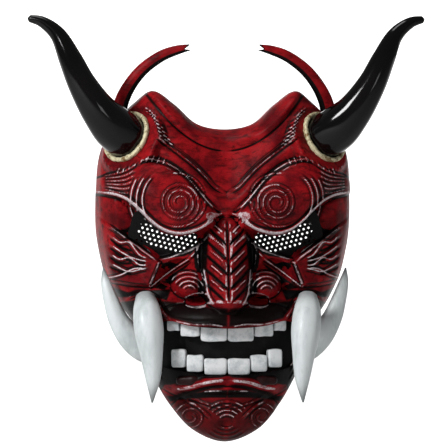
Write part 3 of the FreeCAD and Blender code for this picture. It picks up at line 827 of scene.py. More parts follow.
def lacquer():
    """Red lacquer, rubbed with black in the hollows and with silver on the ridges, and with
    painted shade in the darkened parts and painted highlights along the nose's leaves.
    """
    s = Shader("red_lacquer_aged_and_shaded", roughness=0.40, specular=0.08)
    silver, dark, fine, broad = s.paint()
    cloud = s.noise(48.0, 6.0, 0.66)
    grain = s.noise(900.0, 4.0, 0.65, stretch=(1.0, 1.0, 0.5))
    streak = s.noise(230.0, 5.0, 0.72, stretch=(0.35, 1.0, 1.0), distortion=0.6)
    red = s.mix(s.ramp(cloud, 0.38, 0.64), LACQUER_DEEP, LACQUER_BRIGHT)
    raised = s.ramp(s.plus(broad, s.times(cloud, 0.12)), 0.48, 0.80)
    red = s.mix(s.times(raised, 0.5), red, LACQUER_BRIGHT)
    hollow = s.inverse(s.ramp(fine, 0.30, 0.52))
    low = s.inverse(s.ramp(broad, 0.14, 0.50))
    wash_and_shade = s.most(s.times(hollow, 0.98), s.times(low, 0.94))
    dirt = s.times(s.ramp(streak, 0.46, 0.68), 0.72)
    wash_and_shade = s.most(wash_and_shade, dirt)
    wash_and_shade = s.times(wash_and_shade, s.ramp(grain, 0.06, 0.36))
    # Painted shade: the dark paint value also carries the shaded eye hollows, cheek folds, lips
    # and chin, which turn black here with the black rubbed into the hollows.
    wash_and_shade = s.most(wash_and_shade, s.ramp(dark, 0.20, 0.75))
    colour = s.mix(wash_and_shade, red, LACQUER_BLACK)
    ridge = s.ramp(fine, 0.60, 0.88)
    # Painted highlights: the silver paint value also carries the glint lines along the nose's
    # leaves.
    shine = s.most(silver, s.times(ridge, 0.60))
    shine = s.ramp(s.number("ADD", shine, s.times(streak, 0.72)), 0.84, 1.06)
    colour = s.mix(s.times(shine, s.ramp(grain, 0.30, 0.52)), colour, SILVER)
    s.set("Base Color", colour)
    s.set("Roughness", s.plus(0.26, s.times(grain, 0.26)))
    s.bump(s.plus(grain, s.times(streak, 0.8)), 0.22, 0.6)
    return s.material


def dress(piece, material, node=None, body="mask"):
    """Gives a new piece its material and its body, and hides the CAD node it stands for."""
    piece.data.materials.append(material)
    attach(piece, body)
    if node:
        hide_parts(node)


# --- Stage: the camera and the lights in metres, the floor in millimetres -----------
CAMERA_AZIMUTH = math.radians(-3.0)
CAMERA_DISTANCE = 3.0
CAMERA_TARGET = Vector((0.0, -0.04, 0.0094))
VIEW_WIDTH = 0.3225        # width seen at the target
SENSOR = 36.0
WORLD_LIGHT = 0.16
FLOOR_Z = -190.0
FLOOR_REACH = 4000.0
GLOW_START = 300.0         # where the floor starts to glow, behind the mask
GLOW_FULL = 700.0
BACKDROP_Y = 5600.0
BACKDROP_BEND = 600.0
BACKDROP_HEIGHT = 1900.0
BACKDROP_HALF = 2200.0


def add_camera():
    """The camera level with the mask, in front of it and a little to its left."""
    data = bpy.data.cameras.new("camera")
    data.sensor_width = SENSOR
    data.lens = SENSOR * CAMERA_DISTANCE / VIEW_WIDTH
    camera = bpy.data.objects.new("camera", data)
    bpy.context.scene.collection.objects.link(camera)
    back = Vector((math.sin(CAMERA_AZIMUTH), -math.cos(CAMERA_AZIMUTH), 0.0))
    camera.location = CAMERA_TARGET + back * CAMERA_DISTANCE
    camera.rotation_euler = (-back).to_track_quat("-Z", "Y").to_euler()
    bpy.context.scene.camera = camera


def add_light(name, place, size, energy, target):
    """A soft square light aimed at a place."""
    data = bpy.data.lights.new(name, "AREA")
    data.size = size
    data.energy = energy
    light = bpy.data.objects.new(name, data)
    light.location = place
    light.rotation_euler = (target - light.location).to_track_quat("-Z", "Y").to_euler()
    bpy.context.scene.collection.objects.link(light)


def add_floor():
    """A pale floor that glows evenly behind the mask, where it curves up."""
    turn = np.radians(np.linspace(0.0, 90.0, 25))
    depth = np.concatenate([[-FLOOR_REACH, GLOW_START, GLOW_FULL],
                            BACKDROP_Y + BACKDROP_BEND * (np.sin(turn) - 1.0), [BACKDROP_Y]])
    height = np.concatenate([3 * [FLOOR_Z], FLOOR_Z + BACKDROP_BEND * (1.0 - np.cos(turn)),
                             [FLOOR_Z + BACKDROP_HEIGHT]])
    places = [(x, y, z) for y, z in zip(depth, height) for x in (-BACKDROP_HALF, BACKDROP_HALF)]
    faces = [(2 * k, 2 * k + 1, 2 * k + 3, 2 * k + 2) for k in range(len(depth) - 1)]
    floor = new_mesh("floor", places, faces)
    add_paint(floor, np.repeat(smooth(GLOW_START, GLOW_FULL, depth), 2))
    floor.data.materials.append(floor_pale())


def floor_pale():
    """Nearly white, and it glows where its paint says."""
    s = Shader("floor_pale", roughness=0.9, specular=0.1)
    s.set("Base Color", s.mix(s.noise(6.0, 2.0), (0.88, 0.88, 0.88), (0.90, 0.90, 0.90)))
    s.set("Emission Color", (1.0, 1.0, 1.0, 1.0))
    s.set("Emission Strength", s.paint()[0])
    return s.material


def add_lights():
    """Soft light, mostly from the upper left, and a weak even light all round."""
    world = bpy.data.worlds.new("studio")
    world.use_nodes = True
    world.node_tree.nodes["Background"].inputs["Color"].default_value = (1.0, 1.0, 1.0, 1.0)
    world.node_tree.nodes["Background"].inputs["Strength"].default_value = WORLD_LIGHT
    bpy.context.scene.world = world
    bpy.context.scene.view_settings.view_transform = "Standard"
    face = Vector((0.0, -0.03, 0.0))
    add_light("key", (-1.0, -1.0, 0.65), 0.35, 15.0, face)
    add_light("fill", (0.6, -1.4, 0.1), 0.25, 0.7, face)
    add_light("top", (-0.2, -0.1, 1.2), 0.40, 3.0, face)


# --- Swept pieces --------------------------------------------------------------
def frames_along(path, reference):
    """Directions along a path and two steady cross directions at each place."""
    tangent = np.gradient(path, axis=0)
    tangent /= np.linalg.norm(tangent, axis=1)[:, None]
    side = np.zeros_like(tangent)
    reference = np.array(reference)
    for k, direction in enumerate(tangent):
        across = reference - direction * reference.dot(direction)
        side[k] = across / np.linalg.norm(across)
        reference = side[k]
    return tangent, side, np.cross(tangent, side)


def sweep(name, path, section, around=72, end_shift=0.0, reference=(0.0, 1.0, 0.0)):
    """A closed skin along a path. section(t, angle) gives offsets across, beside and along it."""
    tangent, side, other = frames_along(path, reference)
    angle = np.linspace(0.0, 2 * math.pi, around, endpoint=False)
    rings = []
    for k, place in enumerate(path):
        t = k / (len(path) - 1)
        u, v, w = section(t, angle)
        rings.append(place + side[k] * u[:, None] + other[k] * v[:, None]
                     + tangent[k] * w[:, None])
    places = np.vstack(rings + [path[:1], path[-1:] + tangent[-1] * end_shift])
    faces = ring_faces(len(path), around).tolist()
    start, end = len(places) - 2, len(places) - 1
    last = (len(path) - 1) * around
    for k in range(around):
        faces.append((start, (k + 1) % around, k))
        faces.append((end, last + k, last + (k + 1) % around))
    return new_mesh(name, places, faces)


def mirrored_copy(piece, name):
    """The same mesh on the left side, with its paint."""
    other = piece.copy()
    other.data = piece.data.copy()
    other.name = name
    other.data.transform(((-1, 0, 0, 0), (0, 1, 0, 0), (0, 0, 1, 0), (0, 0, 0, 1)))
    other.data.flip_normals()
    bpy.context.scene.collection.objects.link(other)
    return other


def pair(piece, material, node):
    """Dresses a right piece and its left twin, which stand for a pair of CAD nodes."""
    twin = mirrored_copy(piece, piece.name.replace("right", "left"))
    dress(piece, material, node + "_right")
    dress(twin, material, node + "_left")


# --- Horns and collars -----------------------------------------------------------
HORN_PATH = [
    (70.0, -60.0, 71.0), (80.0, -70.0, 78.5), (91.5, -77.5, 91.0), (102.8, -81.0, 108.7),
    (111.0, -81.0, 126.0), (119.5, -79.0, 143.0), (130.5, -76.5, 152.5), (141.5, -74.5, 155.6),
]
HORN_RADII = [16.5, 15.8, 12.8, 10.2, 8.4, 5.9, 4.1, 2.4]
COLLAR_R = 18.1
COLLAR_HALF = 1.8


def along_radii(radii):
    """Radius as a function of the place along a path, 0 to 1."""
    line = spline([(k / (len(radii) - 1), r) for k, r in enumerate(radii)], 12)
    return lambda t: float(np.interp(t, line[:, 0], line[:, 1]))


def horn():
    """The right horn: smooth and black, with faint flats along it and rings near its foot."""
    path = spline(HORN_PATH, 22)
    radius = along_radii(HORN_RADII)

    def section(t, angle):
        flat = 1.0 + 0.018 * np.cos(5 * angle + 3.0 * t) * (1 - t)
        ring = 1.0 + 0.010 * math.sin(42 * t) * max(0.0, 1 - 3.0 * t)
        r = radius(t) * math.sqrt(1.0 - 0.995 * smooth(0.975, 1.0, t)) * flat * ring
        return r * np.cos(angle), r * np.sin(angle), 0 * angle

    return sweep("horn_right_black", path, section)


def horn_black():
    """Black gloss with faint scratches along the horn."""
    s = Shader("horn_black_gloss", roughness=0.08, specular=0.28)
    scratch = s.noise(160.0, 5.0, 0.7, stretch=(1.0, 1.0, 0.25))
    cloud = s.noise(18.0, 3.0)
    s.set("Base Color", s.mix(s.ramp(cloud, 0.4, 0.8), (0.0015, 0.0015, 0.0015),
                              (0.005, 0.004, 0.004)))
    s.set("Roughness", s.plus(0.04, s.times(scratch, 0.10)))
    s.bump(s.plus(scratch, s.noise(55.0, 3.0)), 0.06, 0.2)
    return s.material


def collar():
    """The right collar: a rounded ring with small dents, round the horn's foot."""
    angle = np.linspace(0, 2 * math.pi, 144, endpoint=False)
    across = np.cross(HORN_AXIS, [0.0, 0.0, 1.0])
    across /= np.linalg.norm(across)
    upward = np.cross(across, HORN_AXIS)
    centre = HORN_SEAT + HORN_AXIS * (COLLAR_HALF - 0.3)
    path = centre + COLLAR_R * (np.cos(angle)[:, None] * across
                                + np.sin(angle)[:, None] * upward)
    phi = np.linspace(0, 2 * math.pi, 20, endpoint=False)
    rings = []
    for place, turn in zip(path, angle):
        out = (place - centre) / COLLAR_R
        dent = 1.0 + 0.07 * math.sin(9 * turn) + 0.05 * math.sin(23 * turn + 1.0)
        wide = rounded(np.cos(phi), 0.8) * COLLAR_HALF * 0.9 * dent
        tall = rounded(np.sin(phi), 0.8) * COLLAR_HALF * dent
        rings.append(place + out * wide[:, None] + HORN_AXIS * tall[:, None])
    return new_mesh("horn_collar_right_gold", np.vstack(rings),
                    ring_faces(len(rings), len(phi), closed=True))


def collar_gold():
    """Pale gold paint, worn to brown in patches."""
    s = Shader("collar_gold_aged", roughness=0.42, specular=0.45, metallic=0.15)
    patch = s.noise(210.0, 5.0, 0.7)
    fine = s.noise(900.0, 3.0)
    gold = s.mix(s.ramp(patch, 0.40, 0.55), (0.22, 0.13, 0.04), (0.78, 0.71, 0.46))
    s.set("Base Color", s.mix(s.ramp(fine, 0.55, 0.75), gold, (0.80, 0.75, 0.55)))
    s.set("Roughness", s.plus(0.3, s.times(patch, 0.3)))
    s.bump(patch, 0.4, 0.6)
    return s.material


# --- Crest prongs ------------------------------------------------------------------
PRONG_PATH = [
    (75.5, -38.0, 84.0), (72.5, -38.5, 98.0), (66.0, -39.5, 110.5), (57.0, -41.0, 121.0),
    (45.0, -43.0, 129.5), (34.0, -44.5, 133.8), (24.5, -46.0, 136.0),
]
PRONG_RADII = [6.4, 6.1, 5.5, 5.1, 4.7, 4.0, 2.6]


def crest_prong():
    """The right prong: red outside, black and hollowed inside, with its tip split in two."""
    path = spline(PRONG_PATH, 16)
    radius = along_radii(PRONG_RADII)

    def section(t, angle):
        inner_side = np.exp(-((angle - math.pi / 2) / 0.6) ** 2)
        size = radius(t) * (1.0 - 0.40 * inner_side)
        notch = -5.0 * smooth(0.92, 1.0, t) * np.exp(-(np.sin(angle) / 0.45) ** 2)
        return 0.72 * size * np.cos(angle), size * np.sin(angle), notch

    around = 64
    piece = sweep("crest_prong_right_red", path, section, around, end_shift=-4.5)
    angle = np.tile(np.linspace(0, 2 * math.pi, around, endpoint=False), len(path))
    along = np.repeat(np.linspace(0, 1, len(path)), around)
    black = smooth(0.0, 0.28, np.sin(angle)) + smooth(0.93, 1.0, along)
    black = np.append(np.clip(black, 0, 1), [1.0, 1.0])
    level = np.full(len(black), 0.5)
    add_paint(piece, 0 * black, black, level, level + 0.12)
    return piece


# --- Tusks and teeth ------------------------------------------------------------------
FRONT_TUSK_PATH = [
    (58.0, -74.0, -42.0), (57.0, -82.0, -52.0), (55.5, -87.0, -66.0),
    (54.0, -90.0, -82.0), (53.0, -91.0, -100.0), (53.5, -90.0, -117.0),
]
FRONT_TUSK_RADII = [6.5, 9.6, 10.4, 8.2, 5.4, 0.6]
REAR_TUSK_PATH = [
    (52.0, -52.0, -84.0), (61.0, -53.0, -79.0), (69.5, -54.0, -70.0), (77.0, -54.0, -58.0),
    (82.0, -53.0, -44.5), (85.5, -51.5, -32.0), (87.0, -50.0, -22.0),
]
REAR_TUSK_RADII = [8.0, 8.8, 8.8, 7.2, 5.4, 3.4, 0.5]
ARCH_R = 110.0
ARCH_CENTRE_Y = 24.0
TOOTH_DEPTH = 8.0
TOOTH_GAP = 0.7
UPPER_TEETH_X = [-43.5, -34.0, -19.5, 0.0, 19.5, 34.0, 43.5]
UPPER_TEETH_TIP_Z = [-66.5, -70.5, -74.0, -74.0, -70.5, -66.5]
UPPER_GUM_Z = -58.5
LOWER_TEETH_X = [-40.5, -29.5, -17.0, 0.0, 17.0, 29.5, 40.5]
LOWER_TEETH_TIP_Z = [-79.5, -83.5, -86.0, -86.0, -83.5, -79.5]
LOWER_GUM_Z = -98.0
LOWER_FEET_RISE = 0.0045     # how fast the lower teeth's feet rise to the sides, per mm


def tusk(name, points, radii):
    """A right tusk, slightly flattened, with a paint value that grows towards its tip."""
    path = spline(points, 20)
    radius = along_radii(radii)

    def section(t, angle):
        r = max(radius(t), 0.3) * (1 + 0.012 * np.cos(7 * angle + 4 * t))
        return r * 0.94 * np.cos(angle), r * np.sin(angle), 0 * angle

    piece = sweep(name, path, section, 64)
    add_paint(piece, np.append(np.repeat(np.linspace(0, 1, len(path)), 64), [0.0, 1.0]))
    return piece


def ivory():
    """Bluish white tusk with grey stains, darker at the root and the tip."""
    s = Shader("tusk_ivory", roughness=0.38, coat=0.1, specular=0.4)
    along = s.paint()[0]
    stain = s.noise(60.0, 5.0, 0.65, stretch=(1.0, 1.0, 0.3))
    fine = s.noise(420.0, 4.0, 0.7, stretch=(1.0, 1.0, 0.25))
    white = s.mix(s.ramp(stain, 0.42, 0.75), (0.80, 0.85, 0.86), (0.52, 0.58, 0.58))
    white = s.mix(s.times(s.ramp(fine, 0.55, 0.8), 0.35), white, (0.30, 0.33, 0.33))
    tip = s.times(s.ramp(along, 0.80, 1.0), 0.8)
    root = s.times(s.inverse(s.ramp(along, 0.02, 0.20)), 0.5)
    white = s.mix(s.most(tip, root), white, (0.10, 0.11, 0.11))
    s.set("Base Color", white)
    s.set("Roughness", s.plus(0.28, s.times(fine, 0.25)))
    s.bump(s.plus(fine, stain), 0.25, 0.5)
    return s.material


def tooth(name, x_low, x_high, tip, gum):
    """One tooth: a rounded block that narrows to the gum, with a worn biting edge."""
    front = (x_high - x_low - TOOTH_GAP) / 2
    low, high = min(tip, gum), max(tip, gum)
    theta = np.linspace(-math.pi / 2, math.pi / 2, 25)[:, None]
    phi = np.linspace(0, 2 * math.pi, 48, endpoint=False)[None, :]
    ring = rounded(np.cos(theta), 0.24)
    u = ring * rounded(np.cos(phi), 0.30)
    v = ring * rounded(np.sin(phi), 0.36)
    w = rounded(np.sin(theta), 0.28) * np.ones_like(phi)
    toward_tip = (w if tip > gum else -w) * 0.5 + 0.5
    width = (front + 0.3) * (0.95 + 0.05 * toward_tip) * (1 - 0.07 * (v * 0.5 + 0.5))
    uneven = 0.35 * np.sin(u * 4.0 + x_low) * toward_tip
    x = u * width
    y = -ARCH_R + TOOTH_DEPTH / 2 + v * TOOTH_DEPTH / 2 * (0.80 + 0.20 * (1 - toward_tip))
    z = (low + high) / 2 + w * (high - low) / 2 + (uneven if tip < gum else -uneven) * 0.6
    turn = math.asin((x_low + x_high) / 2 / ARCH_R)
    places = np.stack([x * math.cos(turn) - y * math.sin(turn),
                       x * math.sin(turn) + y * math.cos(turn) + ARCH_CENTRE_Y, z], axis=-1)
    piece = new_mesh(name, places.reshape(-1, 3), ring_faces(*u.shape))
    rim = np.clip(np.maximum(np.abs(u), np.abs(w)), 0, 1) ** 6
    add_paint(piece, (1 - toward_tip).ravel(), rim.ravel())
    return piece


def enamel():
    """White enamel, grey towards the gum and dark in the gaps."""
    s = Shader("tooth_enamel", roughness=0.34, coat=0.15, specular=0.4)
    near_gum, rim, _, _ = s.paint()
    stain = s.noise(120.0, 5.0, 0.7)
    fine = s.noise(600.0, 3.0, 0.7, stretch=(1.0, 1.0, 0.3))
    white = s.mix(s.ramp(stain, 0.42, 0.72), (0.86, 0.88, 0.89), (0.50, 0.55, 0.57))
    white = s.mix(s.times(s.ramp(near_gum, 0.45, 1.0), 0.45), white,
                  (0.22, 0.25, 0.26))
    white = s.mix(s.times(s.ramp(rim, 0.88, 1.0), 0.35), white, (0.06, 0.065, 0.07))
    s.set("Base Color", white)
    s.set("Roughness", s.plus(0.25, s.times(fine, 0.25)))
    s.bump(s.plus(fine, stain), 0.2, 0.5)
    return s.material


def add_teeth(material):
    """Six teeth above and six below, numbered from the left as in the frame."""
    rows = (
        ("upper_tooth", UPPER_TEETH_X, UPPER_TEETH_TIP_Z, UPPER_GUM_Z, 0.0),
        ("lower_tooth", LOWER_TEETH_X, LOWER_TEETH_TIP_Z, LOWER_GUM_Z, LOWER_FEET_RISE),
    )
    for kind, edges, tips, gum, rise in rows:
        for index, tip in enumerate(tips):
            low, high = edges[index], edges[index + 1]
            foot = gum + rise * ((low + high) / 2) ** 2
            name = f"{kind}_{index + 1}"
            dress(tooth(name + "_enamel", low, high, tip, foot), material, name)


# --- Behind the mouth and the eyes -----------------------------------------------
GUM_HEIGHT = 8.0
GUM_DEPTH = 10.0
LINER_DEPTH = 1.5


def arch_line(radius, half_width, z, steps):
    """A level line that follows the arch of the teeth."""
    x = np.linspace(-half_width, half_width, steps)
    y = ARCH_CENTRE_Y - np.sqrt(radius ** 2 - x ** 2)
    return np.column_stack([x, y, np.full(steps, z)])


def gum(name, half_width, z_low):
    """A gum: a rounded bar along the arch, with a swelling between each two teeth."""
    path = arch_line(ARCH_R - GUM_DEPTH / 2, half_width, z_low + GUM_HEIGHT / 2, 90)

    def section(t, angle):
        end = (1.0 - (2 * t - 1) ** 10) ** 0.5
        swell = 1.0 + 0.10 * math.cos(12 * math.pi * t)
        size = 0.47 * end * swell
        return (GUM_DEPTH * size * rounded(np.cos(angle), 0.6),
                GUM_HEIGHT * size * rounded(np.sin(angle), 0.6), 0 * angle)

    return sweep(name, path, section, 32)


def mouth_liner():
    """The black sheet behind the teeth, narrower towards the chin."""
    rows, columns = 30, 50
    height = np.linspace(LOWER_GUM_Z - GUM_HEIGHT, UPPER_GUM_Z + GUM_HEIGHT, rows)
    half = np.interp(height, [-106, -98, -92, -84, -60, -50.5], [28, 38, 46, 51, 50, 44])
    x = half[:, None] * np.linspace(-1, 1, columns)[None, :]
    fold = 0.35 * np.sin(x * 0.5) * np.cos(height[:, None] * 0.22)
    y = ARCH_CENTRE_Y - np.sqrt((ARCH_R - GUM_DEPTH - 0.6) ** 2 - x ** 2) + fold
    z = np.broadcast_to(height[:, None], x.shape)
    piece = new_mesh("mouth_liner_black", np.stack([x, y, z], axis=-1).reshape(-1, 3),
                     grid_faces(rows, columns))
    thick = piece.modifiers.new("thickness", "SOLIDIFY")
    thick.thickness = LINER_DEPTH * MM
    return piece


def plain_black(name, roughness):
    """A near-black moulded plastic with a faint grain."""
    s = Shader(name, roughness=roughness, specular=0.15)
    grain = s.noise(700.0, 3.0)
    s.set("Base Color", s.mix(grain, (0.002, 0.002, 0.002), (0.006, 0.006, 0.006)))
    s.bump(grain, 0.15, 0.4)
    return s.material


def gum_red():
    """Dark wet red, nearly black in patches."""
    s = Shader("gum_dark_red", roughness=0.4, specular=0.2)
    patch = s.noise(150.0, 4.0)
    s.set("Base Color", s.mix(patch, (0.006, 0.001, 0.001), (0.030, 0.003, 0.004)))
    s.bump(patch, 0.3, 0.5)
    return s.material


def add_mouth(black):
    """Gums above and below, and the liner behind them."""
    red = gum_red()
    upper = gum("upper_gum_red", UPPER_TEETH_X[-1] - 1.0, UPPER_GUM_Z)
    lower = gum("lower_gum_red", 36.0, LOWER_GUM_Z - GUM_HEIGHT)
    dress(upper, red, "upper_gum")
    dress(lower, red, "lower_gum")
    dress(mouth_liner(), black, "mouth_liner")


# --- Pads -------------------------------------------------------------------------
PAD_GAP = 0.6
PAD_DEPTH = 8.4
PADS = {
    "forehead_pad": ((-44, 44), (42, 66), (-72, -46)),
    "cheek_pad_left": ((-82, -60), (-46, -10), (-58, -22)),
    "cheek_pad_right": ((60, 82), (-46, -10), (-58, -22)),
    "chin_pad": ((-23, 23), (-141, -114), (-58, -27)),
}


def pad_patch(x_range, z_range, y_range):
    """The stretch of the shell's inside that a pad covers, in the dome's own measures."""
    a, b = np.meshgrid(np.linspace(-0.99, 0.99, 160), np.linspace(-0.99, 0.99, 160))
    x, forward, z = dome_at(a, b, WALL + PAD_GAP)
    hit = (x > x_range[0]) & (x < x_range[1]) & (z > z_range[0]) & (z < z_range[1])
    hit &= (-forward > y_range[0]) & (-forward < y_range[1])
    return (a[hit].min(), a[hit].max()), (b[hit].min(), b[hit].max())


def pad(name, ranges):
    """A soft pad: full in the middle, thin and rounded at its seam."""
    a_range, b_range = pad_patch(*ranges)
    size = 40
    u, v = np.meshgrid(*2 * [np.linspace(-1.0, 1.0, size)])
    squash = np.sqrt(np.maximum(1 - 0.30 * np.minimum(u * u, v * v), 0))
    a = np.mean(a_range) + u * squash * (a_range[1] - a_range[0]) / 2
    b = np.mean(b_range) + v * squash * (b_range[1] - b_range[0]) / 2
    edge = np.maximum(np.abs(u), np.abs(v))
    full = np.sqrt(np.maximum(1.0 - edge ** 4, 0.0))
    outer = dome_at(a, b, WALL + PAD_GAP)
    inner = dome_at(a, b, WALL + PAD_GAP + PAD_DEPTH)
    back = np.stack([outer[0], -outer[1], outer[2]], axis=-1)
    front = np.stack([inner[0], -inner[1], inner[2]], axis=-1)
    face = back + (front - back) * (0.25 + 0.75 * full[..., None])
    places = np.vstack([back.reshape(-1, 3), face.reshape(-1, 3)])
    quads = grid_faces(size, size)
    loop = border(size, size)
    nxt = np.roll(loop, -1)
    sides = np.stack([loop, nxt, nxt + size * size, loop + size * size], axis=-1)
    piece = new_mesh(name + "_foam", places,
                     np.vstack([quads[:, ::-1], quads + size * size, sides]))
    add_paint(piece, np.concatenate([0 * edge, (edge > 0.86) & (edge < 0.95)]).ravel())
    return piece


def pad_cloth():
    """Black knit over foam, with a pressed line inside its edge."""
    s = Shader("pad_knit_black", roughness=0.9, specular=0.15)
    seam = s.paint()[0]
    knit = s.weave(520.0, 520.0)
    colour = s.mix(knit, (0.010, 0.010, 0.011), (0.030, 0.030, 0.033))
    s.set("Base Color", s.mix(seam, colour, (0.004, 0.004, 0.004)))
    s.bump(s.plus(knit, s.noise(60.0, 3.0)), 0.35, 0.7)
    return s.material


def add_pads(material):
    """The four foam pads inside the shell."""
    for name, ranges in PADS.items():
        piece = pad(name, ranges)
        dress(piece, material, name)


# --- Strap --------------------------------------------------------------------------
STRAP_Z = 22.0
STRAP_HEIGHT = 25.0
STRAP_T = 1.4
STRAP_X = 78.0
STRAP_SIDE_Y = 52.0
STRAP_BEND_R = 56.0
LAYER_GAP = 2.6
BAR_Y = -22.0
SLIDING_END_Y = 62.0
SEWN_END_Y = 14.0
HEM_END_Y = 2.5
SLIDER_Y = 22.0
SLIDER_LENGTH = 14.0
SLIDER_WALL = 2.0
SLIDER_GAP = 0.35


def turn(centre, radius, start, end, steps=14):
    """Part of a circle in plan, between two angles in degrees."""
    t = np.radians(np.linspace(start, end, steps))
    return np.column_stack([centre[0] + radius * np.cos(t), centre[1] + radius * np.sin(t)])


def run(start, end, step=3.0):
    """A straight line in plan, cut into short steps, without its ends."""
    start, end = np.array(start, dtype=float), np.array(end, dtype=float)
    count = max(3, int(np.linalg.norm(end - start) / step))
    t = np.linspace(0, 1, count)[1:-1, None]
    return start + (end - start) * t


def strap_line():
    """The webbing's middle line in plan, from its sliding end round to its sewn end."""
    inner = STRAP_X + STRAP_T / 2
    outer = inner + STRAP_T + LAYER_GAP
    bar = (inner + outer) / 2
    loop_r = (outer - inner) / 2
    bend_r = STRAP_BEND_R - STRAP_T / 2
    bend_x = STRAP_X + STRAP_T - STRAP_BEND_R
    back_y = STRAP_SIDE_Y + bend_r
    return np.vstack([
        [(outer, SLIDING_END_Y)], run((outer, SLIDING_END_Y), (outer, BAR_Y)),
        turn((bar, BAR_Y), loop_r, 0, -180),
        run((inner, BAR_Y), (inner, STRAP_SIDE_Y)),
        turn((bend_x, STRAP_SIDE_Y), bend_r, 0, 90, 30),
        run((bend_x, back_y), (-bend_x, back_y)),
        turn((-bend_x, STRAP_SIDE_Y), bend_r, 90, 180, 30),
        run((-inner, STRAP_SIDE_Y), (-inner, BAR_Y)),
        turn((-bar, BAR_Y), loop_r, 0, -180),
        run((-outer, BAR_Y), (-outer, SEWN_END_Y)),
        turn((-outer + loop_r / 2, SEWN_END_Y), loop_r / 2, 180, 0),
        run((-bar, SEWN_END_Y), (-bar, HEM_END_Y)),
    ])


def strap():
    """One length of flat webbing with rounded edges."""
    line = strap_line()
    path = np.column_stack([line, np.full(len(line), STRAP_Z)])

    def section(t, angle):
        ends = 1.0 - 0.04 * (t in (0.0, 1.0))
        return (STRAP_HEIGHT / 2 * rounded(np.cos(angle), 0.25) * ends,
                STRAP_T / 2 * rounded(np.sin(angle), 0.7) * ends, 0 * angle)

    around = 40
    piece = sweep("head_strap_webbing", path, section, around, reference=(0.0, 0.0, 1.0))
    length = np.append(0.0, np.cumsum(np.linalg.norm(np.diff(line, axis=0), axis=1)))
    angle = np.linspace(0.0, 2 * math.pi, around, endpoint=False)
    width = rounded(np.cos(angle), 0.25) * STRAP_HEIGHT / 2
    along = np.append(np.repeat(length, around), [0.0, length[-1]])
    across = np.append(np.tile(width, len(line)), [0.0, 0.0])
    add_paint(piece, along * MM, across * MM, 0 * along, 0 * along + 1)
    return piece


def webbing():
    """Black woven elastic: ribs along it, crossed by fine threads."""
    s = Shader("strap_webbing_black", roughness=0.8, specular=0.2)
    s.place = s.attribute().outputs["Vector"]
    threads = s.weave(600.0, 420.0)
    fuzz = s.noise(900.0, 3.0)
    mixed = s.plus(s.times(threads, 0.8), s.times(fuzz, 0.2))
    s.set("Base Color", s.mix(mixed, (0.006, 0.006, 0.007), (0.032, 0.032, 0.035)))
    s.bump(mixed, 0.3, 0.8)
    return s.material


def stitches():
    """Two rows of stitches across the sewn end of the strap, on its outer side."""
    places, faces = [], []
    half = (0.25, 0.22, 0.95)
    x = -(STRAP_X + 2 * STRAP_T + LAYER_GAP) - 0.05
    signs = np.array([(a, b, c) for a in (-1, 1) for b in (-1, 1) for c in (-1, 1)])
    cube = np.array([(0, 1, 3, 2), (4, 6, 7, 5), (0, 4, 5, 1), (2, 3, 7, 6), (0, 2, 6, 4),
                     (1, 5, 7, 3)])
    for y in (4.0, 11.0):
        for index in range(9):
            centre = np.array([x, y, STRAP_Z - 10.8 + 2.7 * index])
            faces.append(cube + 8 * len(places))
            places.append(centre + signs * half)
    piece = new_mesh("strap_stitches", np.vstack(places), np.vstack(faces))
    soft = piece.modifiers.new("rounding", "BEVEL")
    soft.width = 0.15 * MM
    soft.segments = 2
    return piece


def cell_block(name, xs, ys, zs, open_cells):
    """A block cut into cells in x and z, with the open cells left out, through its whole y."""
    places, faces, index = [], [], {}

    def place(i, j, k):
        key = (i, j, k)
        if key not in index:
            index[key] = len(places)
            places.append((xs[i], ys[j], zs[k]))
        return index[key]

    solid = {(i, k) for i in range(len(xs) - 1) for k in range(len(zs) - 1)} - set(open_cells)
    for i, k in sorted(solid):
        faces.append((place(i, 0, k), place(i + 1, 0, k), place(i + 1, 0, k + 1),
                      place(i, 0, k + 1)))
        faces.append((place(i, 1, k), place(i, 1, k + 1), place(i + 1, 1, k + 1),
                      place(i + 1, 1, k)))
        for (di, dk), (p, q) in (((-1, 0), ((0, 1), (0, 0))), ((1, 0), ((1, 0), (1, 1))),
                                 ((0, -1), ((0, 0), (1, 0))), ((0, 1), ((1, 1), (0, 1)))):
            if (i + di, k + dk) not in solid:
                first, second = (i + p[0], k + p[1]), (i + q[0], k + q[1])
                faces.append((place(first[0], 0, first[1]), place(first[0], 1, first[1]),
                              place(second[0], 1, second[1]), place(second[0], 0, second[1])))
    piece = new_mesh(name, places, faces, smooth_shading=False)
    soft = piece.modifiers.new("rounding", "BEVEL")
    soft.width = 0.45 * MM
    soft.segments = 3
    soft.limit_method = "ANGLE"
    return piece


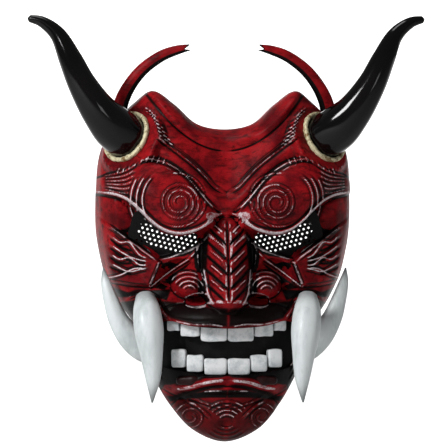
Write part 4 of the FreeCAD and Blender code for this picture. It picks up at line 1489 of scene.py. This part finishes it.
def strap_slider():
    """The adjuster: a frame round both layers of the strap, with a bar between them."""
    outside = STRAP_X + STRAP_T + LAYER_GAP
    z_half = STRAP_HEIGHT / 2 + SLIDER_GAP
    xs = [STRAP_X - SLIDER_GAP - SLIDER_WALL, STRAP_X - SLIDER_GAP, STRAP_X + STRAP_T + SLIDER_GAP,
          outside - SLIDER_GAP, outside + STRAP_T + SLIDER_GAP,
          outside + STRAP_T + SLIDER_GAP + SLIDER_WALL]
    ys = [SLIDER_Y - SLIDER_LENGTH / 2, SLIDER_Y + SLIDER_LENGTH / 2]
    zs = [STRAP_Z - z_half - SLIDER_WALL, STRAP_Z - z_half, STRAP_Z + z_half,
          STRAP_Z + z_half + SLIDER_WALL]
    return cell_block("strap_slider_black", xs, ys, zs, [(1, 1), (3, 1)])


def zinc():
    """Zinc plated steel with fine turning marks."""
    s = Shader("screw_zinc", roughness=0.35, metallic=1.0)
    mark = s.noise(1500.0, 3.0)
    s.set("Base Color", s.mix(mark, (0.45, 0.45, 0.46), (0.62, 0.62, 0.60)))
    s.set("Roughness", s.plus(0.25, s.times(mark, 0.25)))
    s.bump(mark, 0.1, 0.4)
    return s.material


def add_strap(black):
    """The strap, its stitches and its slider."""
    dress(strap(), webbing(), "head_strap")
    dress(stitches(), plain_black("thread_black", 0.7))
    dress(strap_slider(), black, "strap_slider", body="slider")


def paint_cad_nodes(black):
    """Materials for the pieces that keep their own shapes."""
    steel = zinc()
    mesh_black = plain_black("eye_mesh_black", 0.55)
    for name, material in (
        ("eye_mesh_left", mesh_black), ("eye_mesh_right", mesh_black),
        ("strap_anchor_left", black), ("strap_anchor_right", black),
        ("horn_screws", steel), ("horn_washers", steel), ("anchor_screws", steel),
    ):
        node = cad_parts[name]
        node.data.materials.clear()
        node.data.materials.append(material)


add_camera()
add_floor()
add_lights()
red = lacquer()
white = ivory()
black = plain_black("moulded_black", 0.5)
dress(face_shell(), red, "face_shell")
pair(horn(), horn_black(), "horn")
pair(collar(), collar_gold(), "horn_collar")
pair(crest_prong(), red, "crest_prong")
pair(tusk("front_tusk_right_ivory", FRONT_TUSK_PATH, FRONT_TUSK_RADII), white,
     "front_tusk")
pair(tusk("rear_tusk_right_ivory", REAR_TUSK_PATH, REAR_TUSK_RADII), white,
     "rear_tusk")
add_teeth(enamel())
add_mouth(black)
add_pads(pad_cloth())
add_strap(black)
paint_cad_nodes(black)
